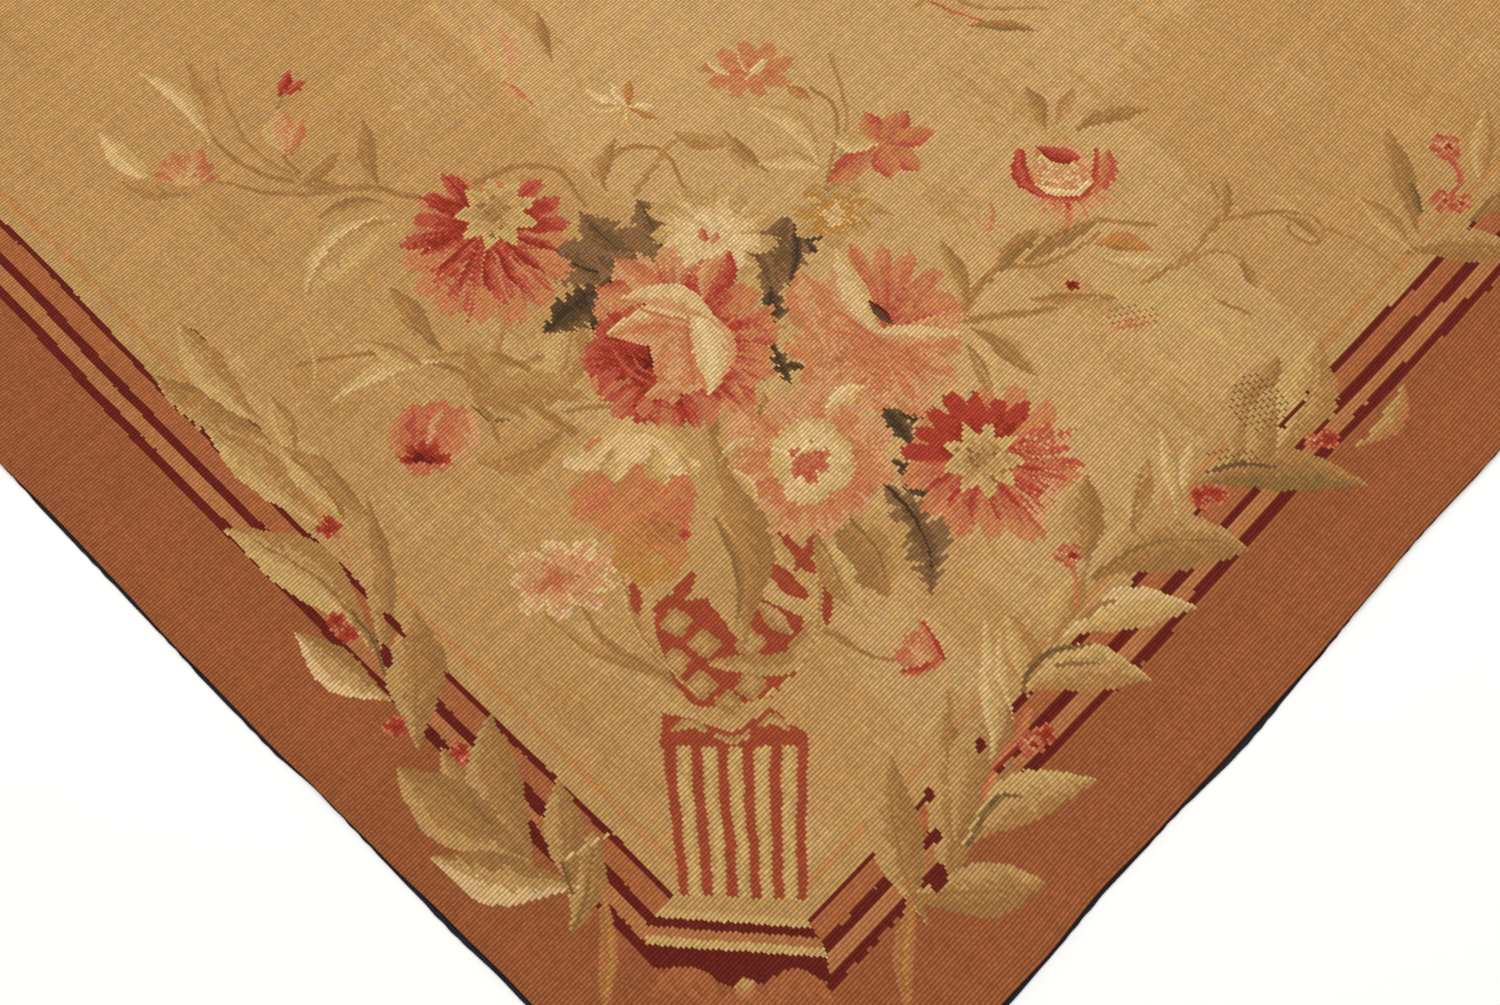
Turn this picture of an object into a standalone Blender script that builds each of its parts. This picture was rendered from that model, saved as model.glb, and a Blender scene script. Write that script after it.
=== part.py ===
"""A flat-woven tapestry rug with a dark binding tape under each of its four edges.

Metres, +Z up. The ribs of the weave run along X, the rug's length. The origin is on the floor,
at the middle of the footprint.

The cloth is one thin sheet. It lies on the floor, and climbs by the tape's thickness on to the
binding tapes near its edges. Its edges wander by some millimetres, as a hand-woven edge does, and
the tapes show past them by an uneven sliver.
"""

import math

import bmesh
import bpy

# Driving dimensions
RIB = 0.003
RIBS_ACROSS = 912
LENGTH_IN_RIBS = 1218
LENGTH = LENGTH_IN_RIBS * RIB
WIDTH = RIBS_ACROSS * RIB
CLOTH_THICK = 0.003
TAPE_THICK = 0.001
TAPE_TUCK = 0.034
FIT_GAP = 0.0003
BUTT_GAP = 0.0006
TAPE_CLEARANCE = 0.002
CLIMB = 0.012
WANDER_REACH = 0.36
CELLS_ALONG = 43
CELLS_ACROSS = 31

# How each edge runs, in millimetres. A row is (place along the edge, how far the cloth's edge lies
# inside its straight line, how far the tape shows past the cloth). The start and finish ends are
# the short edges, at low and high X, and their places run along Y. The near and far sides are the
# long edges, at low and high Y, and their places run along X.
START_END = (
    (0, 6.0, 3.0),
    (120, 8.0, 2.0),
    (265, 10.7, 3.5),
    (330, 9.0, 4.5),
    (400, 6.4, 2.0),
    (470, 5.2, 0.8),
    (530, 3.0, 2.6),
    (600, 2.9, 3.2),
    (640, 1.9, 1.6),
    (710, 3.2, 3.0),
    (790, 3.5, 3.4),
    (865, 1.5, 0.5),
    (1060, 2.6, 2.2),
    (1290, 0.4, 1.2),
    (1540, 3.4, 3.6),
    (1800, 1.2, 1.0),
    (2070, 4.6, 2.8),
    (2330, 2.0, 1.4),
    (2560, 5.2, 3.2),
    (2736, 3.0, 2.0),
)
FINISH_END = (
    (0, 3.5, 2.0),
    (210, 1.0, 3.2),
    (460, 4.6, 1.2),
    (730, 2.4, 3.8),
    (1000, 5.0, 0.9),
    (1280, 1.6, 2.4),
    (1540, 3.8, 3.4),
    (1830, 0.8, 1.0),
    (2110, 4.4, 2.6),
    (2420, 2.2, 3.0),
    (2736, 4.0, 1.8),
)
NEAR_SIDE = (
    (0, 4.0, 2.0),
    (150, 2.6, 2.6),
    (250, 1.2, 3.6),
    (290, -0.2, 2.2),
    (355, 2.2, 3.4),
    (420, -0.7, 1.8),
    (520, -2.8, 5.0),
    (600, -4.0, 1.8),
    (675, -3.2, 0.6),
    (735, -2.0, 0.7),
    (845, -4.6, 0.4),
    (1040, -2.0, 2.4),
    (1330, 1.4, 3.0),
    (1610, -1.6, 1.2),
    (1920, 0.6, 2.8),
    (2260, -3.0, 1.0),
    (2600, -0.4, 3.2),
    (2960, -2.8, 1.6),
    (3320, 1.8, 3.4),
    (3654, 0.8, 2.4),
)
FAR_SIDE = (
    (0, 2.0, 2.4),
    (260, -0.8, 1.2),
    (560, 1.8, 3.4),
    (880, -2.4, 2.0),
    (1210, 0.6, 0.8),
    (1540, -2.0, 3.0),
    (1880, 1.2, 2.2),
    (2210, -1.4, 0.9),
    (2560, 2.4, 3.6),
    (2930, -1.0, 1.6),
    (3300, 1.6, 2.8),
    (3654, -0.6, 2.0),
)
INSIDE_LINE = 1
TAPE_SHOWS = 2

TERRACOTTA_WOOL = (0.33, 0.11, 0.045)
NAVY_TWILL = (0.012, 0.013, 0.022)


def clear_scene():
    for obj in list(bpy.data.objects):
        bpy.data.objects.remove(obj, do_unlink=True)


def eased(share):
    """A smooth step from 0 to 1."""
    return 0.5 - 0.5 * math.cos(math.pi * min(max(share, 0.0), 1.0))


def along_edge(rows, place, column):
    """A column of an edge's table, in metres, at a place along the edge in metres."""
    place_mm = place * 1000.0
    if place_mm <= rows[0][0]:
        return rows[0][column] / 1000.0
    for low, high in zip(rows, rows[1:]):
        if place_mm <= high[0]:
            share = eased((place_mm - low[0]) / (high[0] - low[0]))
            return (low[column] + (high[column] - low[column]) * share) / 1000.0
    return rows[-1][column] / 1000.0


def hold(distance):
    """How much of an edge's wander reaches this far in from it."""
    return 1.0 - eased(distance / WANDER_REACH)


def laid(x, y):
    """Where a point of the straight, square weave lies. x and y start at the rug's low corner."""
    start = along_edge(START_END, y, INSIDE_LINE) * hold(x)
    finish = along_edge(FINISH_END, y, INSIDE_LINE) * hold(LENGTH - x)
    near = along_edge(NEAR_SIDE, x, INSIDE_LINE) * hold(y)
    far = along_edge(FAR_SIDE, x, INSIDE_LINE) * hold(WIDTH - y)
    return x + start - finish, y + near - far


def lift(x, y):
    """How high the cloth's underside lies: on the tapes near the edges, and else on the floor."""
    inside = min(x, LENGTH - x, y, WIDTH - y)
    share = (TAPE_TUCK + TAPE_CLEARANCE + CLIMB - inside) / CLIMB
    return (TAPE_THICK + FIT_GAP) * min(max(share, 0.0), 1.0)


def stations(whole, cells):
    """Lines across the cloth: its edges, both ends of the climb off the tape, and even steps."""
    foot = TAPE_TUCK + TAPE_CLEARANCE
    first = foot + CLIMB
    step = (whole - 2 * first) / cells
    middle = [first + step * n for n in range(cells + 1)]
    return [0.0, foot] + middle + [whole - foot, whole]


def wool_material(name, colour, roughness):
    material = bpy.data.materials.new(name)
    material.use_nodes = True
    shader = material.node_tree.nodes["Principled BSDF"]
    shader.inputs["Base Color"].default_value = (*colour, 1.0)
    shader.inputs["Roughness"].default_value = roughness
    shader.inputs["Metallic"].default_value = 0.0
    return material


def sheet(name, rows_of_points, thickness, material):
    """A closed sheet that stands on a grid of points and is thickened upwards."""
    mesh = bpy.data.meshes.new(name)
    shape = bmesh.new()
    corners = [[shape.verts.new(point) for point in row] for row in rows_of_points]
    for low, high in zip(corners, corners[1:]):
        for n in range(len(low) - 1):
            shape.faces.new((low[n], high[n], high[n + 1], low[n + 1]))
    bmesh.ops.recalc_face_normals(shape, faces=shape.faces)
    if sum(face.normal.z for face in shape.faces) < 0.0:
        bmesh.ops.reverse_faces(shape, faces=shape.faces)
    shape.to_mesh(mesh)
    shape.free()
    mesh.materials.append(material)
    obj = bpy.data.objects.new(name, mesh)
    bpy.context.collection.objects.link(obj)
    thick = obj.modifiers.new("thickness", "SOLIDIFY")
    thick.thickness = thickness
    thick.offset = 1.0
    thick.use_even_offset = True
    return obj


def cloth(material):
    rows = []
    for x in stations(LENGTH, CELLS_ALONG):
        rows.append([(*laid(x, y), lift(x, y)) for y in stations(WIDTH, CELLS_ACROSS)])
    return sheet("cloth", rows, CLOTH_THICK, material)


def end_tape(name, edge_rows, at_finish, material):
    """A tape under a short edge, butted between the two side tapes."""
    first = TAPE_TUCK + BUTT_GAP
    places = [y for y in stations(WIDTH, CELLS_ACROSS) if first < y < WIDTH - first]
    rows = []
    for y in [first] + places + [WIDTH - first]:
        shows = along_edge(edge_rows, y, TAPE_SHOWS)
        outer, inner = -shows, TAPE_TUCK
        if at_finish:
            outer, inner = LENGTH - outer, LENGTH - inner
        rows.append([(*laid(outer, y), 0.0), (*laid(inner, y), 0.0)])
    return sheet(name, rows, TAPE_THICK, material)


def side_tape(name, edge_rows, at_far_side, material):
    """A tape under a long edge, which runs out to the ends of the rug."""
    across = WIDTH if at_far_side else 0.0
    start_out = along_edge(START_END, across, TAPE_SHOWS)
    finish_out = along_edge(FINISH_END, across, TAPE_SHOWS)
    places = stations(LENGTH, CELLS_ALONG)[1:-1]
    rows = []
    for x in [-start_out] + places + [LENGTH + finish_out]:
        shows = along_edge(edge_rows, x, TAPE_SHOWS)
        outer, inner = -shows, TAPE_TUCK
        if at_far_side:
            outer, inner = WIDTH - outer, WIDTH - inner
        rows.append([(*laid(x, outer), 0.0), (*laid(x, inner), 0.0)])
    return sheet(name, rows, TAPE_THICK, material)


def centre_footprint(objects):
    """Moves every mesh so that the middle of the whole footprint is at the origin."""
    points = [vertex.co for obj in objects for vertex in obj.data.vertices]
    middle_x = (min(p.x for p in points) + max(p.x for p in points)) / 2
    middle_y = (min(p.y for p in points) + max(p.y for p in points)) / 2
    for obj in objects:
        for vertex in obj.data.vertices:
            vertex.co.x -= middle_x
            vertex.co.y -= middle_y


def main():
    clear_scene()
    terracotta = wool_material("terracotta_wool", TERRACOTTA_WOOL, 0.95)
    navy = wool_material("navy_cotton_twill", NAVY_TWILL, 0.85)
    objects = [
        cloth(terracotta),
        end_tape("tape_start_end", START_END, False, navy),
        end_tape("tape_finish_end", FINISH_END, True, navy),
        side_tape("tape_near_side", NEAR_SIDE, False, navy),
        side_tape("tape_far_side", FAR_SIDE, True, navy),
    ]
    centre_footprint(objects)


main()
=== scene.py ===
"""A flat-woven tapestry rug, seen from above one corner: a ribbed wool cloth and its binding tapes.

The rug's design is kept as a weaver keeps it, as a chart: one yarn number for each stitch of each
rib. Functions draw the chart of one quarter from short tables of motifs, and it is mirrored for
the rest. The cloth's faces carry the chart's numbers, and its material turns them into wool.
"""

import math

import bpy
import numpy as np
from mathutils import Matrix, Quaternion, Vector


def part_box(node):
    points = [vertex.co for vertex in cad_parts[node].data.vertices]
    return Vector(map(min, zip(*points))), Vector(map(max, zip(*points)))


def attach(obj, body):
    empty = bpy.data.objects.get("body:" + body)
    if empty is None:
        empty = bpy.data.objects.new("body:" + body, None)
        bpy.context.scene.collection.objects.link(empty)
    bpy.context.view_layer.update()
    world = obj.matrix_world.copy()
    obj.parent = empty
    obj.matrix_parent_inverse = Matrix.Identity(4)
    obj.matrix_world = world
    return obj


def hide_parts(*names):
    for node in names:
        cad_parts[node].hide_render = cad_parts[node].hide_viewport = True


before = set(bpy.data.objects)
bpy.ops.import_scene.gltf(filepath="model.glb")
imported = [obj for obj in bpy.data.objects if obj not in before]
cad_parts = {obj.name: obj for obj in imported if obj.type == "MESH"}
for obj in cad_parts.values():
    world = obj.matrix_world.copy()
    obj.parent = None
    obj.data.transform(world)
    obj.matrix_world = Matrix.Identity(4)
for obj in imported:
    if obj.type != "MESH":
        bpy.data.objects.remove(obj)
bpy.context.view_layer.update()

MM = 0.001

# The weave, in millimetres: ribs run along X, and a stitch is one pack of weft over one rib. Real
# packs are finer: these are as long as they need to be to show.
RIB_MM = 3.0
STITCH_MM = 1.5
RIBS_ACROSS = 912
STITCHES_ALONG = 2436
LENGTH = STITCHES_ALONG * STITCH_MM * MM
WIDTH = RIBS_ACROSS * RIB_MM * MM

# Each quad of the cloth's mesh carries 4 ribs of 12 stitches. A rib's stitches are held in the three
# numbers of a vector, 4 stitches in each, as digits of a number to the base of 32.
RIBS_IN_QUAD = 4
STITCHES_IN_QUAD = 12
STITCHES_IN_NUMBER = 4
NUMBERS_IN_RIB = STITCHES_IN_QUAD // STITCHES_IN_NUMBER
MOST_YARNS = 32
QUADS_ALONG = STITCHES_ALONG // STITCHES_IN_QUAD
QUADS_ACROSS = RIBS_ACROSS // RIBS_IN_QUAD
WEAVE_MAP = "weave"
RIB_NAME = "rib_{}"

# The cloth and the tapes, in metres.
CLOTH_THICK = 0.003
RIM_WEAR = 0.0011
TAPE_THICK = 0.001
TAPE_TUCK = 0.034
TAPE_FRAY = 0.0003
TAPE_CELLS_ALONG = 900
TAPE_CELLS_ACROSS = 3
FIT_GAP = 0.0003
BUTT_GAP = 0.0006
# The cloth climbs on to the tapes over this length, just inside them.
TAPE_CLEARANCE = 0.002
CLIMB = 0.012
# An edge's wander dies out this far in from it.
WANDER_REACH = 0.36
COCKLE = 0.0006

# How each edge runs, in millimetres. A row is (place along the edge, how far the cloth's edge lies
# inside its straight line, how far the tape shows past the cloth). The start and finish ends are
# the short edges, at low and high X, and their places run along Y. The near and far sides are the
# long edges, at low and high Y, and their places run along X.
START_END = (
    (0, 6.0, 3.0),
    (120, 8.0, 2.0),
    (265, 10.7, 3.5),
    (330, 9.0, 4.5),
    (400, 6.4, 2.0),
    (470, 5.2, 0.8),
    (530, 3.0, 2.6),
    (600, 2.9, 3.2),
    (640, 1.9, 1.6),
    (710, 3.2, 3.0),
    (790, 3.5, 3.4),
    (865, 1.5, 0.5),
    (1060, 2.6, 2.2),
    (1290, 0.4, 1.2),
    (1540, 3.4, 3.6),
    (1800, 1.2, 1.0),
    (2070, 4.6, 2.8),
    (2330, 2.0, 1.4),
    (2560, 5.2, 3.2),
    (2736, 3.0, 2.0),
)
FINISH_END = (
    (0, 3.5, 2.0),
    (210, 1.0, 3.2),
    (460, 4.6, 1.2),
    (730, 2.4, 3.8),
    (1000, 5.0, 0.9),
    (1280, 1.6, 2.4),
    (1540, 3.8, 3.4),
    (1830, 0.8, 1.0),
    (2110, 4.4, 2.6),
    (2420, 2.2, 3.0),
    (2736, 4.0, 1.8),
)
NEAR_SIDE = (
    (0, 4.0, 2.0),
    (150, 2.6, 2.6),
    (250, 1.2, 3.6),
    (290, -0.2, 2.2),
    (355, 2.2, 3.4),
    (420, -0.7, 1.8),
    (520, -2.8, 5.0),
    (600, -4.0, 1.8),
    (675, -3.2, 0.6),
    (735, -2.0, 0.7),
    (845, -4.6, 0.4),
    (1040, -2.0, 2.4),
    (1330, 1.4, 3.0),
    (1610, -1.6, 1.2),
    (1920, 0.6, 2.8),
    (2260, -3.0, 1.0),
    (2600, -0.4, 3.2),
    (2960, -2.8, 1.6),
    (3320, 1.8, 3.4),
    (3654, 0.8, 2.4),
)
FAR_SIDE = (
    (0, 2.0, 2.4),
    (260, -0.8, 1.2),
    (560, 1.8, 3.4),
    (880, -2.4, 2.0),
    (1210, 0.6, 0.8),
    (1540, -2.0, 3.0),
    (1880, 1.2, 2.2),
    (2210, -1.4, 0.9),
    (2560, 2.4, 3.6),
    (2930, -1.0, 1.6),
    (3300, 1.6, 2.8),
    (3654, -0.6, 2.0),
)
# The tables' columns.
INSIDE_LINE = 1
TAPE_SHOWS = 2

# The tapes: (name, the CAD node it replaces, its edge's table, whether it runs along X, whether it is
# at high Y or X).
TAPES = (
    ("start_end_tape", "tape_start_end", START_END, False, False),
    ("finish_end_tape", "tape_finish_end", FINISH_END, False, True),
    ("near_side_tape", "tape_near_side", NEAR_SIDE, True, False),
    ("far_side_tape", "tape_far_side", FAR_SIDE, True, True),
)

# Every yarn in the loom, by what a dyer would call it: sRGB, as the dyed and faded wool looks.
YARNS = {
    "camel": "#bc8f57",
    "light_camel": "#c39a63",
    "dark_camel": "#b6884f",
    "straw": "#c6a063",
    "cream": "#d3ae78",
    "ivory": "#dcbd88",
    "brick": "#9b5934",
    "oxblood": "#67221a",
    "madder": "#91311f",
    "crimson": "#a63d2c",
    "rose": "#b4533c",
    "coral": "#bc6c48",
    "salmon": "#c27c4e",
    "shell": "#ca9162",
    "apricot": "#bd7a48",
    "gold": "#b5803f",
    "amber": "#a96f3a",
    "tan": "#ab7b46",
    "fawn": "#9e7140",
    "olive": "#8b683a",
    "bark": "#725233",
    "umber": "#58422c",
    "sepia": "#453424",
    "sandstone": "#ba8f57",
    "russet": "#a8623a",
    "ochre": "#b07043",
    "peach": "#bd854e",
    "walnut": "#86613f",
    "redwood": "#9d462c",
}
NUMBER = {name: n for n, name in enumerate(YARNS)}

# x and y, turned by half a right angle, give the corner's own frame.
DIAGONAL = math.sqrt(0.5)

# How deep a leaf's saw teeth are, one after another, how far apart they stand, and their most.
SAW_DEPTHS = np.random.default_rng(5).uniform(0.1, 1.0, 97)
SAW_TOOTH_MM = 10.0
SAW_MOST = 1.6
# A leaf's vein: its width, and where along the leaf it starts and stops.
VEIN_MM = 3.0
VEIN_FROM = 0.03
VEIN_TO = 0.84
# A window is this much wider than its motif, in millimetres, because the outlines sway.
SWAY_ROOM = 4

# A bloom's petals: how much they curl, how their lengths and tones stray, how far their tips fray,
# how round they are, and how many threads each millimetre of radius has round a whole bloom.
CURL = 0.22
PETAL_LENGTHS = (0.84, 1.06)
PETAL_TONES = (-0.12, 0.12)
FRAY = 0.09
ROUNDNESS = 2.2
THREADS_PER_MM = 2.4
# The crease between two petals: how far from a petal's middle it starts, how near the petal's tip it
# ends, and how much darker it is.
CREASE_FROM = 0.84
CREASE_TO = 0.86
CREASE_DARKER = 0.3


def smooth_noise(shape, cell, seed, spread=1.0):
    """Soft random numbers about 0 on a grid.

    cell is how many grid steps apart they're drawn, by row and by column.
    """
    rows = int(shape[0] / cell[0]) + 3
    columns = int(shape[1] / cell[1]) + 3
    drawn = np.random.default_rng(seed).uniform(-spread, spread, (rows, columns))
    down = np.arange(shape[0]) / cell[0]
    along = np.arange(shape[1]) / cell[1]
    row = down.astype(int)
    column = along.astype(int)
    down = (down - row)[:, None]
    along = (along - column)[None, :]
    down = down * down * (3 - 2 * down)
    along = along * along * (3 - 2 * along)
    top = drawn[row][:, column] * (1 - along) + drawn[row][:, column + 1] * along
    low = drawn[row + 1][:, column] * (1 - along) + drawn[row + 1][:, column + 1] * along
    return top * (1 - down) + low * down


class Loom:
    """The chart of one quarter of the rug: a yarn number for each stitch of each rib.

    x runs along the ribs and y across them, in millimetres from the corner. Motifs are placed in the
    corner's own frame: b runs in from the corner along its diagonal, and a to the right of it.
    """

    def __init__(self):
        self.shape = (RIBS_ACROSS // 2, STITCHES_ALONG // 2)
        x = (np.arange(self.shape[1]) + 0.5) * STITCH_MM
        y = (np.arange(self.shape[0]) + 0.5) * RIB_MM
        self.x, self.y = np.meshgrid(x, y)
        self.yarn = np.full(self.shape, NUMBER["camel"], dtype=np.uint8)
        # A hand-woven outline strays by a stitch or two, so the frame itself sways.
        sway_a = self.noise((9, 18), 11, 1.6) + self.noise((3, 6), 12, 0.7)
        sway_b = self.noise((9, 18), 13, 1.6) + self.noise((3, 6), 14, 0.7)
        self.a = (self.x - self.y) * DIAGONAL + sway_a
        self.b = (self.x + self.y) * DIAGONAL + sway_b
        # Hachures: the long teeth with which two shades interlock. They run across the ribs.
        speck = np.random.default_rng(23).uniform(-0.5, 0.5, self.shape)
        long_teeth = self.noise((12, 1.4), 21, 0.5)
        short_teeth = self.noise((1.0, 9), 22, 0.5)
        self.tooth = 0.95 * long_teeth + 0.55 * short_teeth + 0.35 * speck

    def noise(self, cell, seed, spread):
        """Soft random numbers for each stitch."""
        return smooth_noise(self.shape, cell, seed, spread)

    def window(self, a, b, reach):
        """The slices of the chart within reach of a point."""
        middle = ((b - a) * DIAGONAL, (a + b) * DIAGONAL)
        return tuple(
            slice(max(int((at - reach) / step), 0), min(int((at + reach) / step) + 2, count))
            for at, step, count in zip(middle, (RIB_MM, STITCH_MM), self.shape)
        )

    def weave(self, where, mask, yarns, shade=0.0, teeth=1.0):
        """Fills a mask with yarns, named in one string. shade runs from 0, the first, to 1, the last."""
        numbers = np.array([NUMBER[name] for name in yarns.split()], dtype=np.uint8)
        step = shade * len(numbers) + self.tooth[where] * teeth
        step = np.clip(step, 0, len(numbers) - 0.01).astype(int)
        self.yarn[where][mask] = numbers[step][mask]

    def turned(self, where, a, b, turn):
        """Distances ahead of a point and to its left, for one who faces turn degrees from +a."""
        da = self.a[where] - a
        db = self.b[where] - b
        c = math.cos(math.radians(turn))
        s = math.sin(math.radians(turn))
        return da * c + db * s, db * c - da * s


def petal(loom, base, tip, width, yarns, full=0.55, bow=0.0, ragged=0.0, teeth=0.8, vein=None):
    """A petal or leaf from its base to its tip, shaded from side to side.

    full is where along it is widest, bow how far it curves, and ragged how deep its saw teeth are.
    """
    length = math.hypot(tip[0] - base[0], tip[1] - base[1])
    turn = math.degrees(math.atan2(tip[1] - base[1], tip[0] - base[0]))
    middle = ((base[0] + tip[0]) / 2, (base[1] + tip[1]) / 2)
    where = loom.window(*middle, length / 2 + abs(bow) * length + width / 2 + SWAY_ROOM)
    ahead, left = loom.turned(where, *base, turn)
    t = np.clip(ahead / length, 0, 1)
    left = left - 4 * bow * length * t * (1 - t)
    swell = np.maximum(np.sin(math.pi * t ** (math.log(0.5) / math.log(full))), 0)
    half = np.maximum(width / 2 * np.sqrt(swell) * (0.35 + 0.65 * swell), 0.01)
    if ragged:
        saw = t * length / SAW_TOOTH_MM + np.where(left > 0, base[0], base[1])
        depth = SAW_DEPTHS[(saw.astype(int) * 7 + (left > 0) * 31) % len(SAW_DEPTHS)]
        half = half * (1 - SAW_MOST * ragged * depth * (saw % 1.0))
    mask = (ahead > 0) & (ahead < length) & (np.abs(left) < half)
    shade = (left / half + 1) / 2
    loom.weave(where, mask, yarns, shade, teeth)
    if vein:
        line = mask & (t > VEIN_FROM) & (t < VEIN_TO) & (np.abs(left) < VEIN_MM / 2 * (1.3 - t))
        loom.weave(where, line, vein, shade)


def bloom(
    loom,
    a,
    b,
    radius,
    petals,
    yarns,
    seed,
    first=0.0,
    sweep=360.0,
    high=1.0,
    inner=0.0,
    notch=0.25,
    side=0.3,
    streak=0.35,
):
    """A full flower or part of one: petals packed side by side, shaded from the heart out.

    first and sweep are the angles it starts at and covers, and high squeezes or stretches it along b.
    inner is the radius it starts at, and notch how deep it is cut between petals. side and streak are
    how much the shade changes across a petal and from thread to thread.
    """
    chance = np.random.default_rng(seed)
    where = loom.window(a, b, radius * 1.25 * max(high, 1.0))
    across = loom.a[where] - a
    up = (loom.b[where] - b) / high
    far = np.hypot(across, up)
    angle = (np.degrees(np.arctan2(up, across)) - first) % 360
    # A whole flower's petals curl a little, and a part's stay within its sweep.
    curl = CURL * np.sin(3.1 * far / radius + seed) if sweep == 360 else 0.0
    place = np.clip(angle / sweep * petals + curl, 0, None)
    petal_of = place.astype(int) % petals
    from_middle = (place % 1.0) * 2 - 1
    off_middle = np.abs(from_middle)
    threads = max(int(radius * sweep / 360 * THREADS_PER_MM), 8)
    thread = (angle / sweep * threads).astype(int) % threads
    frayed = chance.uniform(0, 1, threads)[thread]
    long = chance.uniform(*PETAL_LENGTHS, petals)[petal_of]
    tone = chance.uniform(*PETAL_TONES, petals)[petal_of]
    lit_side = chance.choice([-1.0, 1.0], petals)[petal_of]
    edge = radius * long * (1 - notch * off_middle**ROUNDNESS - FRAY * frayed)
    mask = (far < edge) & (far >= inner) & (angle < sweep)
    crease = (off_middle > CREASE_FROM) & (far < CREASE_TO * edge)
    shade = (far - inner) / np.maximum(edge - inner, 1) + tone + side * 0.5 * from_middle * lit_side
    shade = shade + streak * (frayed - 0.5) - CREASE_DARKER * crease
    loom.weave(where, mask, yarns, np.clip(shade, 0, 1), 0.9)


def disc(loom, a, b, wide, high, yarns, lobes=0, depth=0.0, teeth=1.0, shade_from=(0.0, 0.0)):
    """An oval, its edge drawn in between lobes, shaded from a place given in its own half widths."""
    where = loom.window(a, b, max(wide, high) * 0.6)
    across = (loom.a[where] - a) / (wide / 2)
    up = (loom.b[where] - b) / (high / 2)
    edge = 1.0
    if lobes:
        edge = 1 - depth + depth * np.abs(np.cos(np.arctan2(up, across) * lobes / 2)) ** 0.7
    mask = np.hypot(across, up) / edge < 1
    shade = np.hypot(across - shade_from[0], up - shade_from[1])
    shade = shade / max(shade[mask].max(), 0.01) if mask.any() else shade
    loom.weave(where, mask, yarns, shade, teeth)


def smooth_line(points):
    """Points close together on a smooth curve through the given ones."""
    points = np.array(points, dtype=float)
    if len(points) < 3:
        return points
    fine = []
    padded = np.vstack([2 * points[0] - points[1], points, 2 * points[-1] - points[-2]])
    for before, here, there, after in zip(padded, padded[1:], padded[2:], padded[3:]):
        for t in np.linspace(0, 1, 7)[:-1]:
            slope = (there - before) * t
            bend = (2 * before - 5 * here + 4 * there - after) * t * t
            twist = (3 * here - before - 3 * there + after) * t**3
            fine.append(0.5 * (2 * here + slope + bend + twist))
    fine.append(points[-1])
    return np.array(fine)


def stem(loom, points, width, yarns, teeth=0.6, fold=False):
    """A smooth line through points (a, b): a stem, which narrows to its end, or a fold, which swells."""
    points = smooth_line(points)
    for n, (start, end) in enumerate(zip(points, points[1:])):
        along = end - start
        length = math.hypot(*along)
        where = loom.window(*((start + end) / 2), length / 2 + width + SWAY_ROOM)
        da = loom.a[where] - start[0]
        db = loom.b[where] - start[1]
        t = np.clip((da * along[0] + db * along[1]) / length**2, 0, 1)
        side = (da * along[1] - db * along[0]) / length
        away = np.hypot(da - t * along[0], db - t * along[1])
        way = (n + t) / (len(points) - 1)
        half = width / 2 * (0.25 + 0.75 * np.sin(math.pi * way) ** 0.6 if fold else 1.1 - 0.6 * way)
        loom.weave(where, away < half, yarns, (side / half + 1) / 2, teeth)


def star(loom, a, b, radius, points, yarns, turn=0.0, waist=0.6, teeth=0.8):
    """A pointed star. waist is how far its edge lies out between points, as a share of the radius."""
    where = loom.window(a, b, radius * 1.1)
    ahead, left = loom.turned(where, a, b, turn)
    angle = np.arctan2(left, ahead) * points / (2 * math.pi)
    off_point = np.abs((angle + 0.5) % 1.0 - 0.5) * 2
    far = np.hypot(ahead, left) / (radius * (1 - (1 - waist) * off_point))
    loom.weave(where, far < 1, yarns, np.clip(far, 0, 1), teeth)


def rays(loom, a, b, radius, count, first, step, width, yarns):
    """Narrow petals round a point, from first degrees on, in steps."""
    for n in range(count):
        turn = math.radians(first + step * n)
        tip = (a + radius * math.cos(turn), b + radius * math.sin(turn))
        petal(loom, (a, b), tip, width, yarns, full=0.7, teeth=1.6)


def speckle(loom, a, b, wide, high, yarn):
    """Single dark stitches, spaced evenly over an oval."""
    where = loom.window(a, b, max(wide, high) * 0.6)
    across = loom.a[where] - a
    up = loom.b[where] - b
    rib, stitch = np.mgrid[where]
    mask = (np.hypot(across / (wide / 2), up / (high / 2)) < 1) & ((stitch + 3 * rib) % 7 < 1)
    loom.weave(where, mask, yarn)


# The stripes, in from the edge: (yarn, how far in it starts), in millimetres.
BORDER = (
    ("brick", 0.0),
    ("oxblood", 89.1),
    ("ochre", 97.0),
    ("oxblood", 108.3),
    ("russet", 116.2),
    ("oxblood", 131.8),
    ("sandstone", 136.7),
    ("peach", 150.0),
    ("sandstone", 157.0),
    ("camel", 162.0),
)
# The same across the cut corner, measured along its diagonal.
CORNER_BORDER = (
    ("brick", 0.0),
    ("oxblood", 196.0),
    ("straw", 212.5),
    ("ochre", 219.0),
    ("oxblood", 226.0),
    ("straw", 233.0),
    ("sandstone", 239.0),
    ("camel", 256.0),
)
# Where the stripes turn from an edge on to the cut corner: (along the diagonal, in from the edge).
MITRE = ((193, 89.1), (212, 98), (226, 109), (233, 116.5), (247, 134), (300, 190))
# The mitre's middle lies this far to the left, and the cut corner and the mitre slope a little.
MITRE_LEFT = 62
CORNER_SKEW = 0.07
MITRE_SKEW = 0.17
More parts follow.
